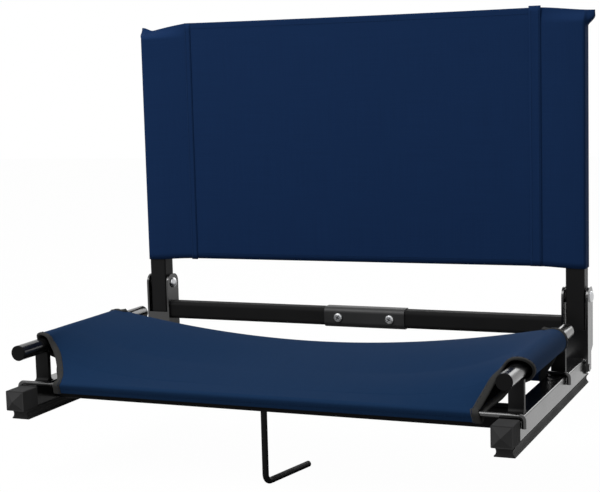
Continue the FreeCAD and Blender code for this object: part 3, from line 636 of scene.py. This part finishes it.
def seat_sewing(material):
    """Stitches on the tapes and along the hems."""
    bm = bmesh.new()
    for side in SIDES:
        for end in ENDS:
            for face in (1, -1):
                def line(share):
                    edge, inner, out = tape_frame(side, end, share)
                    return inner + (edge - inner) * TAPE_STITCH + out * TAPE_LIFT * face

                def up(share):
                    return tape_frame(side, end, share)[2] * face

                stitches(bm, line, NOTCH_LOOP[end], up)
    for end in ENDS:
        half = HEM_HALF[TOP][end] - HEM_DRAW[end] - HEM_TAPE_WIDTH
        front = ROD_Y[end] - end * (HEM - HEM_TUCK / 2 + FABRIC / 2)
        height = ROD_Z - HEM_HANG * 0.5

        def hem_line(share):
            return Vector((MIDDLE_X + HEM_SHIFT + lerp(-half, half, share), front, height))

        stitches(bm, hem_line, 2 * half, lambda share: AXIS_Y * -end)
    return finished("seat_stitches", bm, material, "base")


# Back cover

def crest(x):
    """Height of the back cover's upper edge at one place across, its ears included."""
    side = 1 if x > 0 else -1
    beyond = abs(x) - SEAM_X[side]
    sag = CREST_SAG * (1 - min(abs(x) / SEAM_X[side], 1.0) ** 2)
    if beyond <= 0:
        return BACK_TOP - sag
    share = beyond / (UPRIGHT_X + COVER_GAP + EAR[side] - SEAM_X[side])
    if side > 0:
        return BACK_TOP - CREST_DROP * ease(share)
    if share < CREST_LOWEST:
        return BACK_TOP - CREST_DIP * (share / CREST_LOWEST) ** CREST_POWER
    return BACK_TOP - lerp(CREST_DIP, CREST_TIP, ease((share - CREST_LOWEST) / (1 - CREST_LOWEST)))


def hem_height(x):
    """Height of the back cover's lower edge at one place across, a little lower on the sleeves."""
    side = 1 if x > 0 else -1
    beyond = abs(x) - SEAM_X[side]
    if beyond <= 0:
        share = (x + SEAM_X[-1]) / (SEAM_X[-1] + SEAM_X[1])
        return BACK_BOTTOM + lerp(HEM_LIFT[-1], HEM_LIFT[1], share)
    share = beyond / (UPRIGHT_X + COVER_GAP - SEAM_X[side])
    return BACK_BOTTOM + lerp(HEM_LIFT[side], -SLEEVE_HANG[side], ease(share))


def panel_depth(side, x):
    """Depth of the front layer: flush with the uprights, drawn back to the seams by the rear layer."""
    share = (x - SEAM_X[side]) / (UPRIGHT_X - COVER_GAP - SEAM_X[side])
    return lerp(PANEL_FRONT, COVER_FRONT, min(max(share, 0.0), 1.0))


def sleeve_section(side, k, ear):
    """Place in plan on a sleeve, from the front panel round the upright to the sewn rear edge."""
    outer = UPRIGHT_X + COVER_GAP
    inner = UPRIGHT_X - COVER_GAP
    if k <= FRONT_COLUMNS:
        x = lerp(0.0, outer - COVER_CORNER, k / FRONT_COLUMNS)
        return x, panel_depth(side, x)
    k -= FRONT_COLUMNS
    if k <= BEND_COLUMNS:
        angle = math.pi / 2 * k / BEND_COLUMNS
        x = outer - COVER_CORNER + COVER_CORNER * math.sin(angle)
        return x, COVER_FRONT + COVER_CORNER * (1 - math.cos(angle))
    k -= BEND_COLUMNS
    if k <= SIDE_COLUMNS:
        share = k / SIDE_COLUMNS
        y = lerp(COVER_FRONT + COVER_CORNER, COVER_REAR - COVER_CORNER, share)
        return outer + ear * math.sin(math.pi * share), y
    k -= SIDE_COLUMNS
    if k <= BEND_COLUMNS:
        angle = math.pi / 2 * k / BEND_COLUMNS
        x = outer - COVER_CORNER + COVER_CORNER * math.cos(angle)
        return x, COVER_REAR - COVER_CORNER * (1 - math.sin(angle))
    k -= BEND_COLUMNS
    if k <= FLAT_COLUMNS:
        return lerp(outer - COVER_CORNER, inner + COVER_CORNER, k / FLAT_COLUMNS), COVER_REAR
    k -= FLAT_COLUMNS
    share = k / SLANT_COLUMNS
    return lerp(inner + COVER_CORNER, SEAM_X[side], share), lerp(COVER_REAR, PANEL_FRONT + LAYERS, share)


HALF_COLUMNS = FRONT_COLUMNS + 2 * BEND_COLUMNS + SIDE_COLUMNS + FLAT_COLUMNS + SLANT_COLUMNS


def back_point(u, v):
    """Point of the back cover, from one sewn rear edge across the front to the other."""
    way = 2 * u - 1
    side = 1 if way > 0 else -1
    k = abs(way) * HALF_COLUMNS
    row = v * (LOW_ROWS + HIGH_ROWS)
    top = crest(side * sleeve_section(side, k, EAR[side])[0])
    if row <= LOW_ROWS:
        z = lerp(hem_height(side * sleeve_section(side, k, 0.0)[0]), HIGH_START, row / LOW_ROWS)
    else:
        z = lerp(HIGH_START, top, (row - LOW_ROWS) / HIGH_ROWS)
    ear = EAR[side] * ease((z - EAR_START) / (EAR_FULL - EAR_START))
    x, y = sleeve_section(side, k, ear)
    beyond = (x - SEAM_X[side]) / (UPRIGHT_X + COVER_GAP + EAR[side] - SEAM_X[side])
    if beyond > 0:
        behind = k > FRONT_COLUMNS + BEND_COLUMNS + SIDE_COLUMNS / 2
        flat = PANEL_FRONT + CLOSE_BACK[side] * beyond + (LAYERS if behind else 0.0)
        y = lerp(y, flat, ease((z - CLOSE_START) / (top - CLOSE_START)))
    return Vector((MIDDLE_X + side * x, y, z))


def back_cover(material):
    """Back cover as one sheet: panel, sleeves and closed tops."""
    bm = bmesh.new()
    cloth(bm, 2 * HALF_COLUMNS, LOW_ROWS + HIGH_ROWS, back_point)
    bmesh.ops.recalc_face_normals(bm, faces=bm.faces)
    return thicken(finished("back_cloth", bm, material, "backrest"), FABRIC)


def back_seams(material):
    """Flat seams where the sleeves are sewn to the panel."""
    bm = bmesh.new()
    front = PANEL_FRONT - FABRIC / 2 - SEAM_THICK / 2
    for side in SIDES:
        def band(u, v):
            x = side * (SEAM_X[side] + lerp(-SEAM_BAND[side] / 2, SEAM_BAND[side] / 2, u))
            top = crest(side * SEAM_X[side]) + SEAM_TAB[side]
            foot = hem_height(side * SEAM_X[side]) - SEAM_FOOT[side]
            depth = min(front, panel_depth(side, abs(x)) - (FABRIC + SEAM_THICK) / 2)
            return Vector((MIDDLE_X + x, depth, lerp(foot, top, v)))

        cloth(bm, *SEAM_GRID, band)
    bmesh.ops.recalc_face_normals(bm, faces=bm.faces)
    return thicken(finished("back_seams", bm, material, "backrest"), SEAM_THICK)


def back_sewing(material):
    """Stitches on the back's front: two rows along each seam, and rows along its lower hem and upper edge."""
    bm = bmesh.new()
    for side in SIDES:
        for across in (-SEAM_STITCH, SEAM_STITCH):
            x = side * SEAM_X[side] + across * SEAM_BAND[side]
            front = panel_depth(side, abs(x)) - FABRIC / 2 - SEAM_THICK
            low = BACK_BOTTOM + SEAM_STITCH_END
            high = BACK_TOP - SEAM_STITCH_END
            stitches(bm, lambda share: Vector((MIDDLE_X + x, front, lerp(low, high, share))), high - low,
                     lambda share: -AXIS_Y)
    left = SEAM_BAND[-1] / 2 - SEAM_X[-1]
    right = SEAM_X[1] - SEAM_BAND[1] / 2
    front = PANEL_FRONT - FABRIC / 2
    for edge, inset in ((hem_height, HEM_STITCH), (crest, -HEM_STITCH)):
        def hem_line(share):
            x = lerp(left, right, share)
            return Vector((MIDDLE_X + x, front, edge(x) + inset))

        stitches(bm, hem_line, right - left, lambda share: -AXIS_Y)
    return finished("back_stitches", bm, material, "backrest")


# Materials

def group_of(name, inputs, outputs):
    """New node group with named inputs and outputs."""
    group = bpy.data.node_groups.new(name, "ShaderNodeTree")
    for label, value in inputs:
        socket = group.interface.new_socket(label, in_out="INPUT", socket_type="NodeSocketFloat")
        socket.default_value = value
    for label, kind in outputs:
        group.interface.new_socket(label, in_out="OUTPUT", socket_type=kind)
    return group, group.nodes.new("NodeGroupInput"), group.nodes.new("NodeGroupOutput")


def maths(tree, operation, first, second=None):
    """Math node on sockets or numbers."""
    node = tree.nodes.new("ShaderNodeMath")
    node.operation = operation
    for place, value in enumerate((first, second)):
        if value is None:
            continue
        if isinstance(value, (int, float)):
            node.inputs[place].default_value = value
        else:
            tree.links.new(value, node.inputs[place])
    return node.outputs[0]


def weave_group():
    """Plain weave on the cloth's own UV: yarn height and a shade that varies from yarn to yarn."""
    group, inside, outside = group_of(
        "plain_weave", [("Yarns per metre", 1800.0), ("Slub", 0.5)],
        [("Height", "NodeSocketFloat"), ("Shade", "NodeSocketFloat")])
    uv = group.nodes.new("ShaderNodeTexCoord")
    split = group.nodes.new("ShaderNodeSeparateXYZ")
    group.links.new(uv.outputs["UV"], split.inputs[0])
    waves = []
    for axis in ("X", "Y"):
        turns = maths(group, "MULTIPLY", split.outputs[axis], inside.outputs["Yarns per metre"])
        waves.append(maths(group, "SINE", maths(group, "MULTIPLY", turns, math.pi)))
    crossing = maths(group, "MULTIPLY", waves[0], waves[1])
    group.links.new(maths(group, "MULTIPLY_ADD", crossing, 0.5), outside.inputs["Height"])
    outside.inputs["Height"].links[0].from_node.inputs[2].default_value = 0.5
    shades = []
    for stretch in ((900.0, 14.0, 1.0), (14.0, 900.0, 1.0)):
        mapping = group.nodes.new("ShaderNodeMapping")
        mapping.inputs["Scale"].default_value = stretch
        group.links.new(uv.outputs["UV"], mapping.inputs["Vector"])
        noise = group.nodes.new("ShaderNodeTexNoise")
        noise.inputs["Scale"].default_value = 1.0
        noise.inputs["Detail"].default_value = 1.0
        group.links.new(mapping.outputs[0], noise.inputs["Vector"])
        shades.append(noise.outputs["Fac"])
    mean = maths(group, "MULTIPLY", maths(group, "ADD", shades[0], shades[1]), 0.5)
    centred = maths(group, "MULTIPLY", maths(group, "SUBTRACT", mean, 0.5), inside.outputs["Slub"])
    group.links.new(maths(group, "ADD", centred, 0.5), outside.inputs["Shade"])
    return group


def grain_group():
    """Grain on Object coordinates: fine height and a broad, slow mask."""
    group, inside, outside = group_of(
        "fine_grain", [("Grain per metre", 1500.0), ("Patches per metre", 25.0)],
        [("Height", "NodeSocketFloat"), ("Patches", "NodeSocketFloat")])
    spot = group.nodes.new("ShaderNodeTexCoord")
    for source, target in (("Grain per metre", "Height"), ("Patches per metre", "Patches")):
        noise = group.nodes.new("ShaderNodeTexNoise")
        noise.inputs["Detail"].default_value = 3.0
        group.links.new(spot.outputs["Object"], noise.inputs["Vector"])
        group.links.new(inside.outputs[source], noise.inputs["Scale"])
        group.links.new(noise.outputs["Fac"], outside.inputs[target])
    return group


WEAVE = weave_group()
GRAIN = grain_group()


def material_of(name):
    """New material with its tree and Principled shader."""
    material = bpy.data.materials.new(name)
    material.use_nodes = True
    tree = material.node_tree
    shader = next(node for node in tree.nodes if node.type == "BSDF_PRINCIPLED")
    return material, tree, shader


def placed(tree, group, values):
    """Places a node group in a material with its own values."""
    node = tree.nodes.new("ShaderNodeGroup")
    node.node_tree = group
    for label, value in values.items():
        node.inputs[label].default_value = value
    return node


def blended(tree, share, first, second):
    """Colour between two, by a mask."""
    ramp = tree.nodes.new("ShaderNodeMix")
    ramp.data_type = "RGBA"
    ramp.inputs[6].default_value = (*first, 1.0)
    ramp.inputs[7].default_value = (*second, 1.0)
    tree.links.new(share, ramp.inputs[0])
    return ramp.outputs[2]


def ranged(tree, value, low, high, start=0.0, end=1.0):
    """Maps a value from one range to another."""
    node = tree.nodes.new("ShaderNodeMapRange")
    node.inputs["From Min"].default_value = low
    node.inputs["From Max"].default_value = high
    node.inputs["To Min"].default_value = start
    node.inputs["To Max"].default_value = end
    tree.links.new(value, node.inputs["Value"])
    return node.outputs[0]


def bumped(tree, shader, height, strength, distance):
    """Feeds a height to the shader's normal."""
    bump = tree.nodes.new("ShaderNodeBump")
    bump.inputs["Strength"].default_value = strength
    bump.inputs["Distance"].default_value = distance
    tree.links.new(height, bump.inputs["Height"])
    tree.links.new(bump.outputs[0], shader.inputs["Normal"])


def woven(name, dark, light, sheen, yarns=1800.0):
    """Woven polyester: yarn relief, yarn to yarn shade, soft sheen."""
    material, tree, shader = material_of(name)
    weave = placed(tree, WEAVE, {"Yarns per metre": yarns, "Slub": 0.9})
    shade = ranged(tree, weave.outputs["Shade"], 0.25, 0.75)
    tree.links.new(blended(tree, shade, dark, light), shader.inputs["Base Color"])
    tree.links.new(ranged(tree, weave.outputs["Height"], 0.0, 1.0, 0.86, 0.74), shader.inputs["Roughness"])
    shader.inputs["Specular IOR Level"].default_value = 0.03
    shader.inputs["Sheen Weight"].default_value = sheen
    shader.inputs["Sheen Roughness"].default_value = 0.5
    bumped(tree, shader, weave.outputs["Height"], 0.25, 0.1 * MM)
    return material


def grained(name, dark, light, roughness, specular, grain, relief, metallic=0.0):
    """Painted, moulded or plated finish: fine relief, and patches of tone and gloss."""
    material, tree, shader = material_of(name)
    made = placed(tree, GRAIN, {"Grain per metre": grain})
    patches = ranged(tree, made.outputs["Patches"], 0.3, 0.7)
    tree.links.new(blended(tree, patches, dark, light), shader.inputs["Base Color"])
    tree.links.new(ranged(tree, made.outputs["Patches"], 0.3, 0.7, *roughness), shader.inputs["Roughness"])
    shader.inputs["Specular IOR Level"].default_value = specular
    shader.inputs["Metallic"].default_value = metallic
    bumped(tree, shader, made.outputs["Height"], relief, 0.05 * MM)
    return material


# Seat and back are one navy cloth. The seat's copy is greener and less blue than the back's: painted sheen for
# the haze on the seat's grazing top.
NAVY_BACK = woven("navy_back_cloth", (0.0067, 0.0222, 0.072), (0.0085, 0.0279, 0.087), 0.01)
NAVY_SEAT_PAINTED_SHEEN = woven("navy_seat_cloth_painted_sheen", (0.0068, 0.0240, 0.065), (0.0086, 0.0292, 0.079), 0.01)
NAVY_THREAD = woven("navy_thread", (0.006, 0.018, 0.054), (0.008, 0.024, 0.068), 0.01)
TAPE = woven("black_tape", (0.030, 0.030, 0.029), (0.046, 0.046, 0.045), 0.04, 1200.0)
# Near black for the seat cloth's inner faces.
INNER_FACE_BLACK = woven("near_black_inner_face", (0.008, 0.008, 0.009), (0.012, 0.012, 0.013), 0.01)
GLOSS = grained(
    "gloss_black_coat", (0.0050, 0.0050, 0.0052), (0.0070, 0.0070, 0.0072),
    (0.16, 0.24), 0.75, 1400.0, 0.06)
SATIN = grained(
    "satin_black_coat", (0.0052, 0.0052, 0.0054), (0.0068, 0.0068, 0.0070),
    (0.40, 0.50), 0.10, 1400.0, 0.10)
DARK_STEEL = grained(
    "dark_plate", (0.015, 0.015, 0.0155), (0.019, 0.019, 0.0195),
    (0.42, 0.50), 0.28, 1800.0, 0.12)
PLASTIC = grained(
    "black_moulding", (0.040, 0.040, 0.0405), (0.050, 0.050, 0.0505),
    (0.62, 0.72), 0.012, 2600.0, 0.25)
PLUG = grained(
    "black_plug", (0.0045, 0.0045, 0.0048), (0.0060, 0.0060, 0.0062),
    (0.55, 0.65), 0.06, 2600.0, 0.20)
MATT = grained(
    "matt_black_coat", (0.0070, 0.0070, 0.0072), (0.0092, 0.0092, 0.0094),
    (0.66, 0.74), 0.08, 1400.0, 0.10)
RUBBER = grained(
    "black_rubber", (0.012, 0.012, 0.012), (0.018, 0.018, 0.018),
    (0.62, 0.75), 0.20, 2200.0, 0.35)
ZINC = grained("bright_zinc", (0.50, 0.51, 0.53), (0.62, 0.62, 0.61), (0.26, 0.38), 0.5, 2400.0, 0.08, 1.0)
NYLON = grained("black_nylon", (0.018, 0.018, 0.018), (0.024, 0.024, 0.024), (0.40, 0.5), 0.3, 1800.0, 0.1)
# Painted shade: near black zinc for the crosses that stand for the splice bolts' cross recesses.
RECESS_SHADE = grained("painted_recess_shade", (0.05, 0.05, 0.052), (0.08, 0.08, 0.082), (0.4, 0.5), 0.4, 2400.0, 0.1, 1.0)

FINISHES = {
    "black_steel": GLOSS, "dark_steel": DARK_STEEL, "black_plastic": PLASTIC, "black_rubber": RUBBER,
    "zinc": ZINC, "nylon": NYLON,
}
SATIN_NODES = ("upright_left", "upright_right", "seat_post", "hook")
MATT_NODES = ("rear_crossbar", "front_crossbar")
PLUG_NODES = ("seat_tube_plugs", "upright_foot_plugs", "upright_top_plugs")


def finish_frame():
    """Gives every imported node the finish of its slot, or the satin, matt or plug black that it has."""
    for part in frame["record"]["subparts"]:
        name = part["node"]
        finish = FINISHES.get(part.get("material_slot"))
        if finish is GLOSS and name.startswith(SATIN_NODES):
            finish = SATIN
        if name.startswith(MATT_NODES):
            finish = MATT
        if name.startswith(PLUG_NODES):
            finish = PLUG
        if finish:
            nodes[name].data.materials.clear()
            nodes[name].data.materials.append(finish)


# Fastener details

RECESS_REACH = 2.6 * MM
RECESS_WIDTH = 1.1 * MM
RECESS_PROUD = 0.06 * MM
RECESS_TURNS = (0.5, 2.07)


def recess_shade_crosses(material):
    """Dark crosses laid proud on the splice bolts' heads: painted shade standing in for their cross recesses.
    """
    bm = bmesh.new()
    low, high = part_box("splice_bolts")
    head = (high.z - low.z) / 2
    for x in (low.x + head, high.x - head):
        for turn in RECESS_TURNS:
            size = Matrix.Diagonal((2 * RECESS_REACH, 2 * RECESS_PROUD, RECESS_WIDTH, 1.0))
            spot = Matrix.Translation(Vector((x, low.y, low.z + head))) @ Matrix.Rotation(turn, 4, "Y")
            bar = bmesh.ops.create_cube(bm, size=1.0, matrix=spot @ size)["verts"]
            sides = {edge for vert in bar for edge in vert.link_edges}
            bmesh.ops.bevel(bm, geom=list(sides), offset=RECESS_PROUD / 2, offset_type="OFFSET", segments=1,
                            profile=0.5, affect="EDGES", material=-1)
    return finished("splice_bolt_recess_shade", bm, material, "base", sharp=30)


HEAD_RADIUS = 6.5 * MM
HEAD_RIM = 1.0 * MM
HEAD_DOME = 2.8 * MM
HEAD_ARC = 8
HEAD_TURN = 40


def pivot_heads(material):
    """Full round heads on the right ends of the pivot rivets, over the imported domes."""
    bm = bmesh.new()
    pivot = middle_of("pivot_rivets")
    for bracket in ("hinge_bracket_left", "hinge_bracket_right"):
        seat = Vector((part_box(bracket)[1].x, pivot.y, pivot.z))
        path = [seat + AXIS_Z * HEAD_RADIUS]
        for step in range(HEAD_ARC + 1):
            angle = math.pi / 2 * step / HEAD_ARC
            rise = HEAD_RIM + HEAD_DOME * math.sin(angle)
            path.append(seat + AXIS_X * rise + AXIS_Z * HEAD_RADIUS * math.cos(angle))
        verts = [bm.verts.new(point) for point in path]
        edges = [bm.edges.new(pair) for pair in zip(verts, verts[1:])]
        bmesh.ops.spin(bm, geom=verts + edges, cent=seat, axis=AXIS_X, angle=2 * math.pi, steps=HEAD_TURN,
                       use_merge=True)
    bmesh.ops.remove_doubles(bm, verts=bm.verts, dist=MERGE)
    bmesh.ops.holes_fill(bm, edges=bm.edges)
    bmesh.ops.recalc_face_normals(bm, faces=bm.faces)
    return finished("pivot_rivet_heads", bm, material, "base", sharp=50)


# Studio and camera

WORLD_LIGHT = 0.30
FLOOR_SIZE = 6.0
FLOOR_GAP = 0.2 * MM
FLOOR_COLOUR = (0.3, 0.3, 0.3, 1.0)
FLOOR_GLOW = 0.94
GLOW_STRENGTH = 1.045
# Painted shade: reflections see no floor glow in a box below the chair that reaches this far behind it.
SHADE_EDGE = 25.0 * MM
SHADE_BEHIND = 1.6
AIM_HEIGHT = 0.15
LAMPS = {
    "key": ((-0.75, -1.35, 2.1), 1.6, 0.88),
    "top": ((0.45, 0.35, 2.3), 1.4, 0.14),
    "rear": ((0.2, 2.0, 0.9), 1.2, 0.22),
}
CAMERA_PLACE = Vector((617.931, -1352.927, 361.676)) * MM
CAMERA_TURN = 0.399
CAMERA_DOWN = 0.117
CAMERA_ROLL = -0.027
CAMERA_LENS = 84.599


def area_lamp(name, place, aim, size, share):
    """Soft square lamp whose light on a facing surface is a share of the plain level."""
    lamp = bpy.data.lights.new(name, "AREA")
    lamp.size = size
    distance = (aim - place).length
    lamp.energy = share * math.pi ** 2 * distance ** 2
    holder = bpy.data.objects.new(name, lamp)
    holder.location = place
    holder.rotation_mode = "QUATERNION"
    holder.rotation_quaternion = (aim - place).to_track_quat("-Z", "Y")
    bpy.context.scene.collection.objects.link(holder)


def seen_ray(tree):
    """Mask of the rays that show the background: camera, glossy and transmission."""
    path = tree.nodes.new("ShaderNodeLightPath")
    glossy = maths(tree, "MAXIMUM", path.outputs["Is Camera Ray"], path.outputs["Is Glossy Ray"])
    return maths(tree, "MAXIMUM", glossy, path.outputs["Is Transmission Ray"])


def outside_painted_shade(tree):
    """Mask of the floor outside a box below the chair and reaching behind it: painted shade, where reflections
    see no floor glow.
    """
    spot = tree.nodes.new("ShaderNodeNewGeometry")
    split = tree.nodes.new("ShaderNodeSeparateXYZ")
    tree.links.new(spot.outputs["Position"], split.inputs[0])
    low, high = cad_box
    masks = []
    for axis, start, end in (("X", low.x, high.x), ("Y", low.y, high.y + SHADE_BEHIND)):
        off = maths(tree, "ABSOLUTE", maths(tree, "SUBTRACT", split.outputs[axis], (start + end) / 2))
        half = (end - start) / 2
        masks.append(ranged(tree, off, half - SHADE_EDGE, half))
    return maths(tree, "MAXIMUM", masks[0], masks[1])


def shown_floor(tree):
    """Mask of the rays that see the floor glow: all that look at it, and reflections outside the painted shade
    box below and behind the chair.
    """
    path = tree.nodes.new("ShaderNodeLightPath")
    mirrored = maths(tree, "MULTIPLY", path.outputs["Is Glossy Ray"], outside_painted_shade(tree))
    seen = maths(tree, "MAXIMUM", path.outputs["Is Camera Ray"], mirrored)
    return maths(tree, "MAXIMUM", seen, path.outputs["Is Transmission Ray"])


def surroundings():
    """World that looks white and lights the chair softly."""
    world = bpy.data.worlds.new("studio")
    bpy.context.scene.world = world
    world.use_nodes = True
    tree = world.node_tree
    shade = tree.nodes["Background"]
    shade.inputs["Color"].default_value = (1.0, 1.0, 1.0, 1.0)
    tree.links.new(ranged(tree, seen_ray(tree), 0.0, 1.0, WORLD_LIGHT, 1.0), shade.inputs["Strength"])


def pale_floor():
    """Floor below the runners, white where it is lit, with the chair's shadow on it."""
    bm = bmesh.new()
    bmesh.ops.create_grid(bm, x_segments=1, y_segments=1, size=FLOOR_SIZE)
    bmesh.ops.translate(bm, verts=bm.verts, vec=Vector((0, 0, cad_box[0].z - FLOOR_GAP)))
    mesh = bpy.data.meshes.new("floor")
    bm.to_mesh(mesh)
    bm.free()
    floor = bpy.data.objects.new("floor", mesh)
    bpy.context.scene.collection.objects.link(floor)
    material, tree, shader = material_of("pale_floor")
    shader.inputs["Base Color"].default_value = FLOOR_COLOUR
    shader.inputs["Roughness"].default_value = 0.9
    shader.inputs["Specular IOR Level"].default_value = 0.0
    glow = tree.nodes.new("ShaderNodeEmission")
    glow.inputs["Strength"].default_value = GLOW_STRENGTH
    mixed = tree.nodes.new("ShaderNodeMixShader")
    tree.links.new(ranged(tree, shown_floor(tree), 0.0, 1.0, 0.0, FLOOR_GLOW), mixed.inputs[0])
    tree.links.new(shader.outputs[0], mixed.inputs[1])
    tree.links.new(glow.outputs[0], mixed.inputs[2])
    out = next(node for node in tree.nodes if node.type == "OUTPUT_MATERIAL")
    tree.links.new(mixed.outputs[0], out.inputs["Surface"])
    mesh.materials.append(material)


def lamps():
    """Soft lamps: a key from the front left, a weaker one above and one from the rear."""
    aim = Vector((MIDDLE_X, UPRIGHT_Y / 2, AIM_HEIGHT))
    for name, (place, size, share) in LAMPS.items():
        area_lamp(name, Vector(place), aim, size, share)


def camera():
    """Camera at the photograph's angle."""
    lens = bpy.data.cameras.new("camera")
    lens.lens = CAMERA_LENS
    lens.sensor_width = 36.0
    lens.sensor_fit = "HORIZONTAL"
    lens.clip_start = 0.05
    holder = bpy.data.objects.new("camera", lens)
    aim = Matrix.Rotation(CAMERA_TURN, 4, "Z") @ Matrix.Rotation(math.pi / 2 - CAMERA_DOWN, 4, "X")
    holder.matrix_world = Matrix.Translation(CAMERA_PLACE) @ aim @ Matrix.Rotation(CAMERA_ROLL, 4, "Z")
    bpy.context.scene.collection.objects.link(holder)
    bpy.context.scene.camera = holder


finish_frame()
recess_shade_crosses(RECESS_SHADE)
pivot_heads(ZINC)
seat = seat_cover(NAVY_SEAT_PAINTED_SHEEN, INNER_FACE_BLACK)
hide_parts("seat_cover")
seat_trim = [corner_tapes(TAPE), seat_sewing(NAVY_THREAD)]
back = back_cover(NAVY_BACK)
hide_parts("back_cover")
back_trim = [back_seams(NAVY_BACK), back_sewing(NAVY_THREAD)]
surroundings()
pale_floor()
lamps()
camera()
bpy.context.scene.view_settings.view_transform = "Standard"
